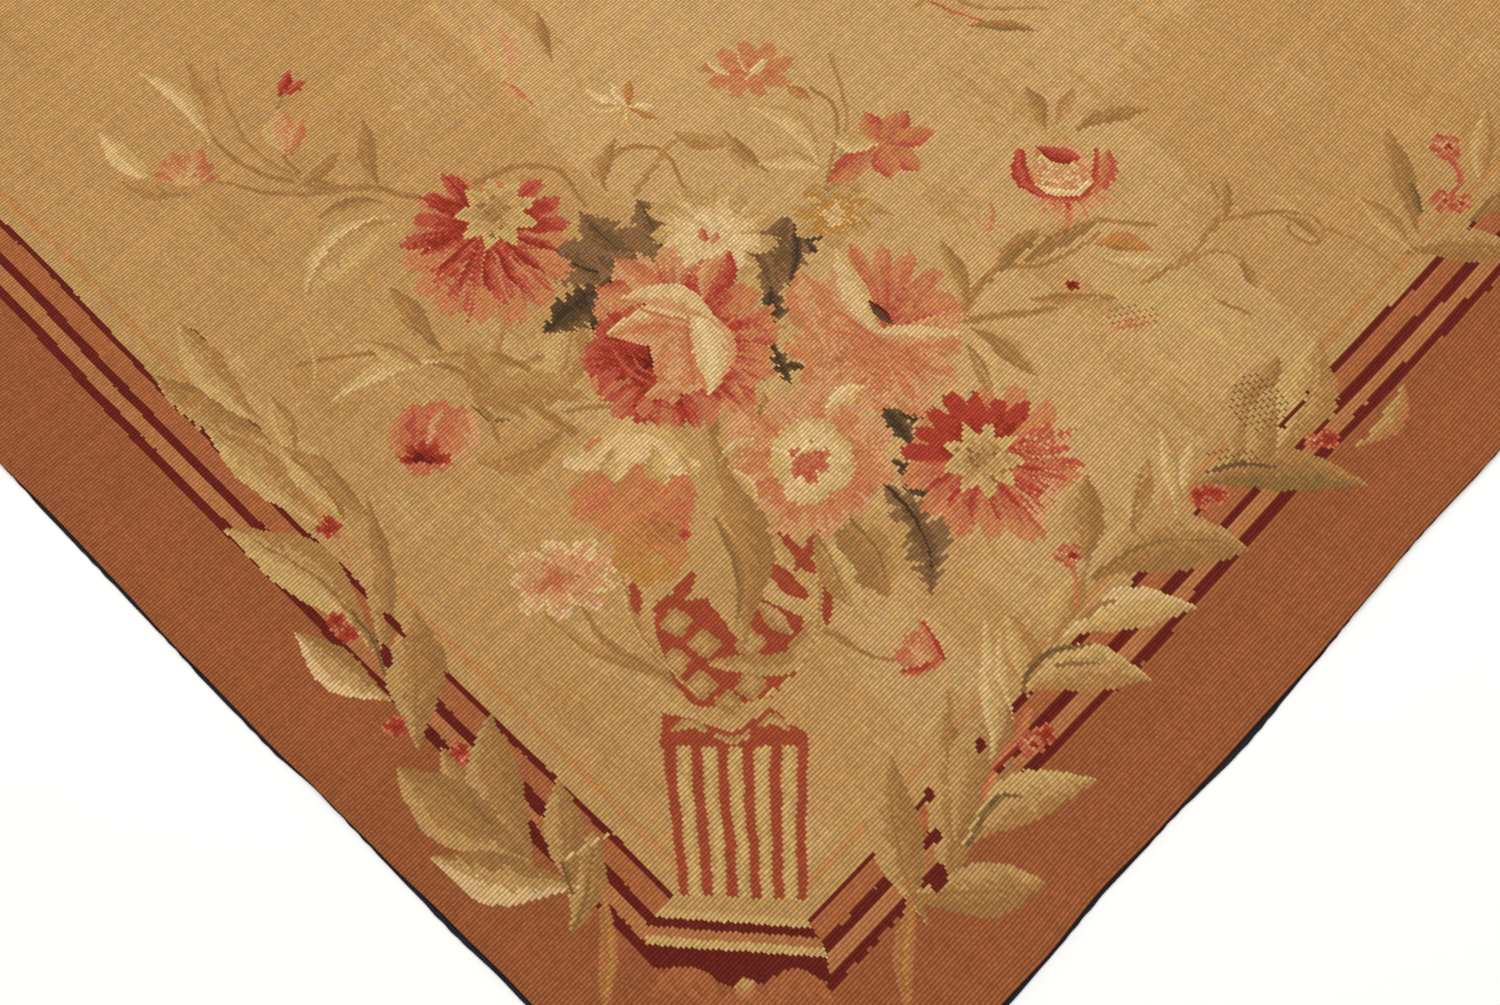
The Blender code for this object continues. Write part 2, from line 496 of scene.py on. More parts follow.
# How far the stripes stray inwards: (place along the edge, how far), in millimetres.
START_STRAY = (
    (0, -8),
    (240, -8),
    (360, -6),
    (520, -4),
    (600, -2),
    (720, -4),
    (800, -3.5),
    (860, 0),
    (960, 3),
    (1150, 0),
)
NEAR_STRAY = ((0, 5), (320, 5), (440, 3), (540, 2), (640, 5), (760, 3.5), (880, 2.5), (960, -1), (1200, 0))

# Painted light: broad pools where the ground is painted paler: (a, b, how far it reaches along each, how
# much).
LIGHT_POOLS_PAINTED = (
    (60, 1010, 260, 230, 0.42),
    (230, 600, 260, 260, 0.34),
)


def field(loom):
    """The ground: camel, with paler and darker wefts in soft patches that run across the ribs, and broad
    pools of light painted paler.
    """
    shade = 0.48 + 0.5 * (loom.noise((60, 30), 41, 0.4) + loom.noise((22, 12), 42, 0.22))
    # Painted light: in these pools the ground shades towards its palest yarn.
    for a, b, reach_a, reach_b, paler in LIGHT_POOLS_PAINTED:
        shade += paler * np.exp(-((loom.a - a) ** 2 / reach_a**2 + (loom.b - b) ** 2 / reach_b**2))
    everywhere = (slice(None), slice(None))
    loom.weave(everywhere, np.full(loom.shape, True), "dark_camel camel light_camel", shade, 0.5)


def border(loom):
    """The stripes along both edges, and the cut corner that joins them under the vase."""
    ground = loom.yarn.copy()
    sway = loom.noise((60, 120), 31, 0.8) + loom.noise((16, 32), 32, 0.4) + loom.noise((1.2, 4), 33, 0.25)
    from_start = loom.x - np.interp(loom.y, *zip(*START_STRAY))
    from_near = loom.y - np.interp(loom.x, *zip(*NEAR_STRAY))
    inwards = np.minimum(from_start, from_near) + sway
    for name, start in BORDER:
        loom.yarn[inwards >= start] = NUMBER[name]
    loom.yarn[inwards < 0] = NUMBER[BORDER[0][0]]
    a = (loom.x - loom.y) * DIAGONAL + MITRE_LEFT
    b = (loom.x + loom.y) * DIAGONAL + sway
    cut = np.interp(b + MITRE_SKEW * a, *zip(*MITRE)) < inwards
    for name, start in CORNER_BORDER:
        loom.yarn[cut & (b + CORNER_SKEW * a >= start)] = NUMBER[name]
    inside = loom.yarn == NUMBER["camel"]
    loom.yarn[inside] = ground[inside]


# Runs of shades, from one side of a petal to the other.
SHADES = {
    "red": "madder crimson rose",
    "rose": "crimson rose coral",
    "pink": "rose coral salmon",
    "salmon": "coral salmon shell",
    "pale pink": "salmon shell straw",
    "blush": "shell straw light_camel",
    "cream": "straw cream ivory",
    "shell": "salmon shell cream",
    "dull cream": "sandstone straw cream",
    "apricot": "amber apricot gold",
    "warm coral": "rose coral apricot",
    "dark leaf": "walnut bark walnut",
    "ink leaf": "umber sepia umber bark",
    "brown leaf": "olive fawn tan",
    "tan leaf": "fawn tan sandstone",
    "dim leaf": "ochre tan sandstone",
    "pale leaf": "tan sandstone straw",
    "lit leaf": "fawn sandstone cream",
    "ribbon": "ochre amber gold ochre",
    "stem": "tan fawn tan",
    "dark stem": "bark olive",
    "pale stem": "sandstone straw",
    "red stem": "coral rose",
    "faint": "dark_camel tan",
    "soft sweep": "straw light_camel straw",
}

# Stems and folds: (shades, width, swells, points).
STEMS = (
    ("stem", 7, False, ((-285, 852), (-330, 862), (-400, 856), (-462, 872))),
    ("stem", 6, False, ((-330, 860), (-392, 868), (-440, 890), (-478, 935), (-492, 990))),
    ("stem", 5, False, ((-345, 862), (-392, 882), (-412, 930), (-406, 965))),
    ("faint", 6, False, ((-375, 862), (-432, 905), (-462, 960), (-470, 992))),
    ("stem", 6, False, ((-130, 868), (-105, 893), (-72, 892), (-55, 862), (-48, 838))),
    ("faint", 6, False, ((-95, 850), (-60, 902), (-15, 900), (-2, 872))),
    ("stem", 7, False, ((-232, 866), (-196, 880), (-160, 872), (-138, 838))),
    ("stem", 5, False, ((60, 950), (80, 930), (78, 890), (68, 850))),
    ("faint", 5, False, ((78, 985), (90, 930), (84, 880))),
    ("stem", 8, False, ((175, 728), (205, 765), (245, 800), (292, 812), (345, 806))),
    ("stem", 6, False, ((215, 770), (250, 772), (300, 800))),
    ("stem", 7, False, ((180, 722), (240, 728), (300, 740), (360, 745), (415, 722))),
    ("stem", 5, False, ((300, 738), (345, 760), (398, 806), (400, 848))),
    ("stem", 5, False, ((398, 812), (452, 818), (486, 806), (478, 788), (458, 798), (462, 816))),
    ("faint", 5, False, ((486, 806), (520, 785), (545, 760))),
    ("faint", 6, False, ((360, 768), (395, 782), (420, 772))),
    ("stem", 8, False, ((-145, 628), (-175, 650), (-212, 668), (-257, 692), (-310, 704), (-375, 692))),
    ("faint", 7, False, ((-150, 700), (-200, 690), (-250, 700), (-330, 682))),
    ("faint", 6, False, ((-210, 700), (-200, 745), (-180, 770))),
    ("faint", 9, True, ((-166, 474), (-130, 446), (-80, 424), (-52, 406))),
    ("stem", 7, True, ((-140, 484), (-118, 450), (-84, 428), (-50, 404))),
    ("faint", 8, True, ((-92, 486), (-86, 452), (-66, 420))),
    ("stem", 5, False, ((55, 455), (90, 434), (118, 430))),
    ("faint", 5, False, ((150, 405), (150, 350), (165, 330))),
    ("pale stem", 5, False, ((-175, 565), (-215, 600), (-230, 605))),
    ("dark stem", 3, True, ((-478, 734), (-456, 718), (-440, 692))),
    ("dark stem", 4, True, ((-494, 684), (-464, 668), (-435, 652), (-410, 640), (-392, 620))),
    ("dark stem", 4, True, ((-198, 640), (-212, 640), (-228, 652))),
    ("stem", 6, True, ((-250, 702), (-200, 696), (-162, 670))),
    ("stem", 6, True, ((-222, 666), (-185, 666), (-150, 664))),
    ("stem", 6, True, ((-228, 664), (-212, 640), (-203, 616))),
    ("stem", 5, True, ((-155, 646), (-128, 650), (-104, 650))),
    ("red stem", 7, False, ((604, 870), (610, 846), (598, 828))),
    ("red stem", 4, False, ((112, 1068), (150, 1048), (215, 1016))),
    ("faint", 7, False, ((180, 1062), (205, 1035), (270, 1028))),
    ("pale stem", 4, False, ((-374, 728), (-366, 714), (-359, 682), (-376, 650))),
)

# Petals and leaves: (shades, base, tip, width, bow, raggedness, vein).
LEAVES = (
    # the field's own leaves
    ("tan leaf", (-318, 858), (-336, 932), 26, 0.06, 0.1, None),
    ("faint", (-470, 905), (-498, 995), 16, -0.1, 0, None),
    ("dull cream", (-466, 905), (-540, 986), 21, -0.12, 0, None),
    ("dull cream", (-513, 868), (-566, 924), 32, -0.04, 0.1, None),
    ("faint", (-478, 860), (-540, 872), 22, 0.05, 0.2, None),
    ("tan leaf", (-390, 858), (-352, 900), 18, 0, 0.1, None),
    ("tan leaf", (-310, 846), (-366, 832), 16, -0.1, 0, None),
    ("pale leaf", (-300, 828), (-368, 762), 52, -0.16, 0.2, None),
    ("dull cream", (-299, 834), (-372, 752), 20, -0.28, 0.1, None),
    ("faint", (-182, 640), (-232, 712), 40, 0.10, 0.2, "tan"),
    ("pale leaf", (-168, 648), (-150, 742), 42, -0.08, 0.15, "tan"),
    ("faint", (-150, 632), (-222, 604), 40, 0.10, 0.25, "fawn"),
    ("faint", (-130, 656), (-222, 662), 36, -0.10, 0.25, None),
    ("dull cream", (-252, 694), (-344, 658), 22, -0.16, 0, None),
    ("pale leaf", (-262, 690), (-320, 716), 18, 0.05, 0.1, None),
    ("tan leaf", (-252, 702), (-302, 764), 30, 0.06, 0.1, "fawn"),
    ("tan leaf", (-390, 622), (-492, 686), 36, 0.04, 0.25, None),
    ("pale leaf", (-400, 640), (-478, 736), 34, 0.06, 0.15, None),
    ("pale leaf", (-372, 600), (-398, 668), 22, -0.06, 0.1, None),
    ("tan leaf", (262, 902), (246, 948), 24, 0, 0.1, None),
    ("tan leaf", (284, 900), (352, 922), 26, 0.12, 0.1, "fawn"),
    ("faint", (270, 905), (290, 945), 14, 0, 0, None),
    ("brown leaf", (202, 752), (262, 808), 16, 0.12, 0.1, None),
    ("tan leaf", (232, 770), (300, 812), 26, 0.12, 0.1, "olive"),
    ("tan leaf", (178, 720), (160, 800), 18, -0.1, 0.1, None),
    ("tan leaf", (182, 715), (236, 668), 22, 0.08, 0.1, "fawn"),
    ("pale leaf", (180, 700), (200, 650), 22, 0.08, 0.1, "fawn"),
    ("soft sweep", (430, 664), (292, 746), 38, -0.14, 0, None),
    ("tan leaf", (300, 742), (232, 740), 14, 0.06, 0, None),
    ("tan leaf", (402, 806), (412, 852), 14, 0, 0.2, None),
    ("tan leaf", (452, 814), (482, 790), 15, 0.2, 0.1, None),
    ("tan leaf", (415, 780), (425, 745), 16, 0, 0.3, None),
    ("tan leaf", (20, 868), (-18, 910), 18, 0.1, 0, None),
    ("faint", (-8, 898), (-62, 912), 16, 0.1, 0, None),
    ("tan leaf", (-120, 850), (-112, 905), 18, 0.15, 0.1, None),
    ("tan leaf", (-170, 985), (-185, 1040), 16, 0.05, 0.1, None),
    ("brown leaf", (196, 1012), (262, 1004), 12, 0.06, 0.1, None),
    ("faint", (150, 1030), (205, 1062), 14, 0.06, 0.1, None),
    ("tan leaf", (60, 850), (108, 838), 22, 0.15, 0.1, None),
    ("pale leaf", (70, 832), (125, 822), 20, 0.15, 0.1, None),
    # the dark leaves behind the bouquet
    ("dark leaf", (-74, 768), (-142, 832), 48, 0.06, 0.3, "umber"),
    ("dark leaf", (-64, 768), (-94, 842), 50, -0.05, 0.3, "umber"),
    ("dark leaf", (-96, 766), (-180, 800), 50, 0.04, 0.3, "sepia"),
    ("dark leaf", (-80, 760), (-130, 790), 40, 0.0, 0.3, None),
    ("ink leaf", (-112, 772), (-172, 718), 44, 0.05, 0.4, None),
    ("ink leaf", (-105, 770), (-130, 718), 38, 0.0, 0.35, "sepia"),
    ("dark leaf", (16, 742), (34, 824), 58, 0.0, 0.25, None),
    ("dark leaf", (22, 756), (2, 796), 26, 0.0, 0.3, None),
    ("ink leaf", (34, 752), (40, 816), 13, -0.05, 0.3, None),
    ("ink leaf", (20, 756), (22, 722), 24, 0.0, 0.4, None),
    ("ink leaf", (42, 796), (68, 806), 9, 0.0, 0.3, None),
    ("ink leaf", (50, 799), (60, 786), 8, 0.0, 0.3, None),
    ("ink leaf", (16, 712), (34, 664), 17, 0.0, 0.55, None),
    ("ink leaf", (26, 684), (46, 682), 9, 0.0, 0.3, None),
    ("ink leaf", (100, 656), (134, 604), 22, 0.05, 0.5, None),
    ("ink leaf", (112, 640), (146, 632), 14, 0.0, 0.5, None),
    ("ink leaf", (112, 598), (140, 560), 24, 0.1, 0.4, None),
    ("dark leaf", (102, 582), (140, 484), 52, 0.12, 0.5, "sepia"),
    # beige leaves under the bouquet
    ("tan leaf", (62, 560), (106, 482), 66, 0.12, 0.25, "olive"),
    ("pale leaf", (48, 540), (78, 472), 30, 0.0, 0.1, "fawn"),
    ("tan leaf", (-8, 600), (12, 660), 26, 0, 0.2, "olive"),
    ("tan leaf", (-28, 612), (-40, 655), 22, 0, 0.2, None),
)

# Garland leaves, over the stripes.
GARLANDS = (
    ("pale leaf", (-340, 546), (-448, 640), 34, 0.0, 0.08, None),
    ("tan leaf", (-146, 218), (-128, 300), 30, -0.05, 0.1, "olive"),
    ("ribbon", (-124, 262), (-118, 160), 15, 0.04, 0, None),
    ("tan leaf", (-182, 268), (-244, 366), 46, 0.0, 0.08, None),
    ("tan leaf", (-172, 270), (-208, 393), 44, 0.08, 0.08, None),
    ("tan leaf", (-145, 252), (-155, 339), 33, 0.0, 0.08, "fawn"),
    ("tan leaf", (-176, 278), (-278, 353), 50, 0.04, 0.08, "fawn"),
    ("lit leaf", (-136, 258), (-249, 281), 38, 0.06, 0.05, None),
    ("tan leaf", (-262, 366), (-268, 480), 50, 0.0, 0.08, "fawn"),
    ("lit leaf", (-282, 403), (-360, 461), 33, 0.04, 0.05, "sandstone"),
    ("tan leaf", (-290, 424), (-311, 576), 25, -0.03, 0.1, None),
    ("pale leaf", (-298, 446), (-425, 549), 44, -0.1, 0.05, "fawn"),
    ("tan leaf", (-302, 555), (-352, 612), 22, 0.1, 0.1, None),
    ("pale leaf", (-325, 556), (-385, 618), 30, -0.05, 0.1, "fawn"),
    ("tan leaf", (120, 228), (100, 356), 42, 0.06, 0.1, "fawn"),
    ("ribbon", (112, 262), (104, 160), 15, -0.04, 0, None),
    ("tan leaf", (136, 244), (143, 391), 44, -0.04, 0.1, "fawn"),
    ("tan leaf", (106, 250), (213, 258), 42, 0.0, 0.08, "fawn"),
    ("tan leaf", (146, 290), (190, 402), 48, 0.0, 0.05, None),
    ("pale leaf", (150, 287), (253, 336), 40, 0.08, 0.06, None),
    ("dull cream", (177, 345), (180, 464), 20, -0.03, 0.08, None),
    ("dull cream", (193, 383), (190, 450), 11, 0.02, 0.08, None),
    ("pale leaf", (206, 398), (196, 468), 26, -0.1, 0.1, None),
    ("pale leaf", (201, 402), (302, 414), 42, 0.15, 0.06, None),
    ("pale leaf", (226, 440), (262, 505), 26, 0.05, 0.1, None),
    ("dull cream", (236, 447), (342, 470), 34, 0.1, 0.06, None),
    ("tan leaf", (262, 500), (268, 582), 34, 0.05, 0.12, None),
    ("tan leaf", (262, 492), (389, 517), 58, 0.16, 0.1, "olive"),
    ("pale leaf", (300, 530), (318, 598), 26, 0.05, 0.1, "fawn"),
    ("dull cream", (335, 548), (330, 622), 16, -0.05, 0.1, None),
    ("dull cream", (342, 560), (356, 612), 13, 0.0, 0.1, None),
    ("brown leaf", (352, 572), (489, 567), 38, 0.1, 0.06, None),
    ("tan leaf", (384, 590), (434, 684), 50, 0.02, 0.15, None),
    ("tan leaf", (392, 580), (452, 664), 44, 0.0, 0.1, None),
    ("pale leaf", (420, 592), (468, 700), 50, -0.06, 0.1, "tan"),
    ("dim leaf", (482, 602), (530, 658), 20, -0.14, 0, None),
    ("tan leaf", (566, 795), (553, 900), 34, 0.02, 0.1, "fawn"),
    ("tan leaf", (548, 776), (652, 772), 32, 0.08, 0.06, "fawn"),
    ("pale leaf", (560, 775), (520, 830), 22, -0.05, 0.1, None),
    ("pale leaf", (625, 838), (645, 915), 22, 0.0, 0.1, None),
    ("tan leaf", (610, 800), (690, 850), 30, 0.1, 0.1, "olive"),
)

# Lines and small marks over the garlands: (yarns, width, swells, points).
GARLAND_LINES = (
    ("bark olive", 4, True, ((-288, 424), (-300, 456), (-318, 480))),
    ("olive", 3.5, True, ((-205, 303), (-218, 322))),
    ("olive bark", 4, True, ((-152, 276), (-144, 250))),
    ("coral salmon", 2.5, False, ((-334, 536), (-324, 522), (-317, 506))),
    ("oxblood", 6, False, ((-290, 475), (-274, 457))),
    ("oxblood", 8, True, ((-292, 452), (-287, 432))),
    ("oxblood", 9, True, ((-178, 336), (-169, 314))),
    ("oxblood", 5, True, ((-176, 308), (-165, 284))),
    ("cream straw", 3, False, ((-148, 277), (-130, 288), (-112, 297))),
    ("olive bark olive", 5, True, ((154, 288), (168, 306), (182, 322), (198, 322))),
    ("olive bark olive", 6, True, ((202, 404), (212, 424), (230, 438), (262, 443))),
    ("olive", 4, True, ((226, 424), (242, 427), (264, 426))),
    ("tan fawn", 4, True, ((250, 460), (264, 472), (282, 476))),
    ("bark", 4, True, ((362, 582), (388, 588), (418, 585))),
    ("coral salmon", 5, False, ((250, 508), (251, 490), (249, 472))),
    ("coral salmon", 9, True, ((170, 320), (184, 346), (198, 368), (208, 390))),
    ("madder oxblood", 4, False, ((183, 342), (199, 361))),
    ("oxblood", 4, False, ((428, 620), (440, 636), (453, 651))),
    ("olive bark", 8, True, ((570, 812), (569, 842))),
)

# Petals of two small flowers: (tip, width, shades).
STAR_PETALS = (
    ((106, 926), 22, "warm coral"),
    ((142, 926), 22, "warm coral"),
    ((166, 904), 20, "warm coral"),
    ((150, 866), 22, "warm coral"),
    ((124, 858), 24, "warm coral"),
    ((70, 854), 24, "pink"),
    ((76, 900), 22, "dull cream"),
)
BELL_PETALS = (
    ((-142, 958), 9, "cream"),
    ((-134, 938), 8, "dull cream"),
    ((-118, 962), 8, "cream"),
    ((-100, 964), 9, "apricot"),
    ((-80, 936), 10, "cream"),
    ((-112, 916), 8, "dull cream"),
    ((-76, 922), 7, "apricot"),
)

# Small blooms on the garlands: (a, b, size, whether they're pale inside).
BERRIES = (
    (-338, 548, 21, False),
    (-329, 470, 15, False),
    (-319, 461, 17, False),
    (-280, 383, 17, False),
    (-229, 363, 17, False),
    (-225, 355, 12, True),
    (249, 514, 24, True),
    (208, 364, 24, True),
    (219, 371, 18, False),
    (357, 562, 22, False),
    (369, 563, 20, False),
    (452, 606, 18, True),
    (465, 608, 17, False),
    (602, 878, 29, True),
    (594, 824, 26, True),
    (606, 822, 24, True),
)

# Chinks of the oxblood stripe that show between the garland leaves: (a, b, width, height).
CHINKS = (
    (128, 325, 8, 12),
    (132, 294, 7, 14),
    (132, 264, 14, 20),
    (169, 362, 7, 13),
)

# Folds on the great rose: (width, yarns, points).
ROSE_FOLDS = (
    (3.5, "coral salmon", ((-100, 744), (-78, 733), (-52, 728))),
    (3.5, "coral", ((-50, 722), (-50, 700), (-46, 668))),
    (4, "coral", ((-96, 716), (-84, 722), (-62, 722))),
    (4, "rose", ((-112, 700), (-98, 680), (-80, 668))),
    (3, "rose", ((-96, 696), (-90, 684), (-76, 676))),
)

# Where single dark stitches stand on the garlands' leaves: (a, b, width, height, yarn).
SPECKLES = (
    (412, 642, 46, 52, "bark"),
    (386, 596, 44, 12, "bark"),
    (318, 722, 50, 22, "olive"),
)

# The vase: a point in it, and a reach that takes all of it in.
VASE_MIDDLE = (-12, 380)
VASE_REACH = 200
# Its bowl's outline, at heights b: the left and right sides.
BOWL_HEIGHTS = (396, 403, 415, 430, 445, 455, 467, 483)
BOWL_LEFT = (-48, -56, -64, -71, -74, -76, -78, -76)
BOWL_RIGHT = (-34, 12, 24, 36, 43, 36, 39, 8)
BOWL_SCROLL = ((-36, 431), (-12, 430), (10, 428), (28, 433), (36, 447), (44, 462))
# The bowl's pale lozenges: (a, b, radius, turn).
LOZENGES = (
    (-61, 465, 13, 10),
    (-40, 447, 13, 0),
    (-4, 445, 13, 5),
    (-63, 432, 12, 20),
    (-43, 413, 13, 0),
    (-22, 400, 11, 0),
    (-4, 413, 13, 10),
)
# The red strokes of the bowl's upper part: (width, points).
BOWL_STROKES = (
    (9, ((58, 508), (58, 486), (56, 460))),
    (14, ((12, 510), (26, 496), (40, 484))),
    (9, ((18, 542), (32, 522), (42, 510), (58, 500))),
    (9, ((54, 538), (44, 522), (32, 506))),
    (9, ((-96, 498), (-90, 474))),
    (12, ((-78, 476), (-60, 486), (-44, 508))),
)
# The cap on the foot: its uneven top, along a, and the pale scrolls on it, (width, points).
CAP_BOTTOM = 364
CAP_ALONG = (-76, -58, -36, -20, 0, 12, 24, 38)
CAP_TOP = (392, 388, 381, 375, 386, 395, 382, 374)
CAP_SCROLLS = (
    (8, ((-67, 378), (-52, 383), (-40, 376))),
    (6, ((-34, 373), (-18, 369), (-6, 376))),
    (8, ((0, 378), (12, 386), (24, 376))),
)
# The foot, and its pale flutes: how many, and how wide each is as a share of its step.
FOOT_BOTTOM = 252
FOOT_HIGH = 118
FLUTES = 5.4
FLUTE_SHARE = 0.58
FLUTES_TOP = 366


EYE_POINTS = 9
EYE_SPECKS = 9


def small_bloom(loom, a, b, size, pale_inside):
    """A little flower of the garlands, red with a pale rim or pale with a red heart."""
    seed = int(abs(a) + b)
    if pale_inside:
        bloom(loom, a, b, size * 0.55, 5, "shell salmon coral rose", seed, high=0.85, notch=0.35, side=0.7)
        disc(loom, a + 2, b - 1, size * 0.26, size * 0.2, "crimson madder", teeth=1.4)
    else:
        bloom(loom, a, b, size * 0.6, 5, "madder crimson crimson coral", seed, notch=0.3, side=0.7)


def eye(loom, a, b, radius, seed):
    """The eye of an open flower: a ragged straw star, specked with brown."""
    star(loom, a, b, radius, EYE_POINTS, "tan sandstone straw", turn=seed * 7, waist=0.62, teeth=1.4)
    chance = np.random.default_rng(seed)
    for _ in range(EYE_SPECKS):
        turn = chance.uniform(0, 2 * math.pi)
        far = chance.uniform(0.1, 0.62) * radius
        disc(loom, a + math.cos(turn) * far, b + math.sin(turn) * far, 5, 4.5, "fawn olive")


def pale_flowers(loom):
    """The small pale flowers and buds round the bouquet."""
    bloom(loom, 2, 972, 44, 9, "coral salmon apricot salmon", 31, high=0.8, notch=0.4, side=0.5)
    petal(loom, (-10, 966), (-34, 984), 9, SHADES["cream"])
    petal(loom, (0, 962), (22, 986), 8, SHADES["cream"])
    petal(loom, (4, 966), (-6, 996), 7, SHADES["shell"])
    for tip, wide, shades in STAR_PETALS:
        petal(loom, (118, 893), tip, wide, SHADES[shades], teeth=1.2)
    for tip, wide, shades in BELL_PETALS:
        petal(loom, (-104, 936), tip, wide, SHADES[shades], teeth=1.2)
    petal(loom, (64, 872), (4, 934), 24, SHADES["dull cream"], bow=-0.18)
    petal(loom, (70, 866), (10, 876), 20, SHADES["dull cream"], bow=-0.16)
    petal(loom, (60, 938), (38, 954), 12, SHADES["apricot"])
    bloom(loom, 74, 824, 40, 7, "gold straw gold sandstone", 30, high=0.85, notch=0.4, side=0.7)
    bloom(loom, 76, 822, 20, 5, "straw cream gold", 32, high=0.8, notch=0.4, side=0.6)
    bloom(loom, -484, 866, 38, 7, "straw shell salmon coral", 35, first=12, sweep=156, notch=0.3, side=0.5)
    petal(loom, (-399, 896), (-410, 942), 30, SHADES["pale pink"], bow=0.05)
    petal(loom, (-396, 892), (-388, 932), 16, SHADES["salmon"], ragged=0.3)
    petal(loom, (-414, 958), (-388, 972), 16, SHADES["rose"], ragged=0.3)
    petal(loom, (-412, 956), (-402, 984), 12, SHADES["red"], ragged=0.3)
    petal(loom, (-205, 962), (-224, 1030), 36, SHADES["blush"], bow=0.04, ragged=0.2)
    petal(loom, (-222, 975), (-244, 1026), 22, SHADES["blush"], ragged=0.3)
    petal(loom, (-182, 938), (-212, 968), 8, SHADES["salmon"])
    bloom(loom, 203, 812, 30, 6, SHADES["blush"], 37, notch=0.5)
    petal(loom, (203, 796), (208, 836), 14, SHADES["pale pink"], ragged=0.3)
    bloom(loom, 316, 712, 34, 7, "salmon shell straw", 38, first=-20, sweep=220, high=0.6, notch=0.5)
    bloom(loom, -150, 502, 52, 9, "salmon shell shell cream", 39, high=0.7, notch=0.35, side=0.4, streak=0.3)
    bloom(loom, -156, 500, 28, 5, "coral salmon shell", 40, high=0.66, notch=0.3, side=0.6, streak=0.4)
    bloom(loom, 127, 434, 21, 5, "shell salmon coral", 41, notch=0.3)
    stem(loom, ((128, 462), (138, 440), (146, 428)), 11, "crimson coral salmon", fold=True)
    stem(loom, ((111, 419), (130, 422), (143, 432)), 8, "crimson rose salmon", fold=True)
    disc(loom, 272, 751, 12, 9, "oxblood madder")
    petal(loom, (292, 790), (342, 782), 18, "amber gold apricot", bow=0.1)
    petal(loom, (296, 778), (352, 772), 14, SHADES["dull cream"], bow=-0.1)


def cream_peony(loom):
    """The cream peony at the back of the bouquet."""
    bloom(loom, -31, 808, 60, 11, "straw cream straw sandstone", 51, high=0.9, notch=0.3, side=0.5)
    bloom(loom, -30, 806, 42, 9, "cream ivory cream", 52, high=0.9, notch=0.3, side=0.5)
    petal(loom, (-34, 798), (-38, 815), 8, SHADES["pink"])
    petal(loom, (-30, 796), (-24, 812), 7, SHADES["salmon"])


def left_anemone(loom):
    """The open red flower on the left."""
    reds = "madder crimson crimson rose"
    back = "crimson madder crimson rose"
    bloom(loom, -222, 798, 82, 14, "crimson rose coral salmon", 61, high=0.98, notch=0.22, side=0.5)
    bloom(loom, -216, 822, 66, 3, reds, 62, first=-14, sweep=80, high=0.9, inner=16, notch=0.4)
    bloom(loom, -219, 822, 80, 4, back, 66, first=112, sweep=96, high=0.8, inner=16, notch=0.4)
    bloom(loom, -222, 812, 86, 9, "crimson coral rose salmon", 63, first=222, sweep=100, side=0.6, streak=0.7)
    rays(loom, -219, 822, 66, 7, 205, 22, 9, SHADES["red"])
    eye(loom, -214, 834, 37, 3)


def salmon_peony(loom):
    """The salmon peony on the right, with a cream curl round a dark chink."""
    bloom(loom, 106, 706, 80, 13, "coral salmon shell salmon", 71, high=0.96, notch=0.22, side=0.5)
    petal(loom, (66, 694), (44, 772), 44, "salmon shell salmon", bow=0.05, ragged=0.2)
    bloom(loom, 112, 700, 70, 9, "salmon coral salmon shell", 73, first=196, sweep=150, high=0.9, side=0.5)
    inner = "rose coral coral salmon"
    bloom(loom, 112, 714, 72, 5, inner, 75, first=14, sweep=106, high=1.14, notch=0.3, side=0.5, streak=0.5)
    petal(loom, (97, 715), (178, 709), 22, "salmon shell cream cream", bow=-0.06, full=0.5)
    petal(loom, (106, 712), (76, 792), 30, "straw cream cream shell", bow=0.08, full=0.48)
    petal(loom, (98, 742), (119, 719), 10, "umber oxblood")


def crowned_flower(loom):
    """The apricot flower with a cream crown, on the left over the bowl."""
    skirt = "apricot salmon apricot coral"
    tail = "russet amber apricot gold"
    disc(loom, -86, 568, 126, 66, skirt, lobes=9, depth=0.14, teeth=1.9, shade_from=(-1.6, 0.8))
    disc(loom, -82, 524, 66, 58, tail, lobes=7, depth=0.2, teeth=1.9, shade_from=(0.6, 1.8))
    petal(loom, (-96, 596), (-142, 556), 44, "apricot coral apricot", ragged=0.15, teeth=1.6)
    crown = ((-150, 602), (-120, 610), (-94, 618), (-68, 608), (-58, 592))
    stem(loom, crown, 34, "straw cream cream", fold=True)
    petal(loom, (-110, 616), (-110, 582), 24, SHADES["dull cream"])
    petal(loom, (-80, 614), (-70, 580), 24, SHADES["dull cream"])
    petal(loom, (-58, 606), (-26, 562), 20, SHADES["dull cream"], bow=0.06)
    petal(loom, (-118, 624), (-136, 606), 12, "salmon straw")
    disc(loom, -76, 516, 12, 9, "gold sandstone")


def salmon_rose(loom):
    """The salmon rose in the middle, with a cream ring round a coral heart."""
    bloom(loom, 48, 600, 76, 11, "coral salmon salmon shell", 91, notch=0.16, side=0.5)
    bloom(loom, 50, 598, 58, 7, "salmon coral salmon", 92, first=200, sweep=140, notch=0.2, side=0.6)
    petal(loom, (60, 640), (94, 662), 18, SHADES["cream"], bow=0.12, ragged=0.2)
    bloom(loom, 48, 602, 42, 6, "ivory cream cream straw", 94, notch=0.05, side=0.3, streak=0.2)
    bloom(loom, 49, 599, 21, 6, "coral rose coral", 95, notch=0.35, side=0.6)
    petal(loom, (36, 602), (62, 606), 9, SHADES["cream"], bow=0.25)


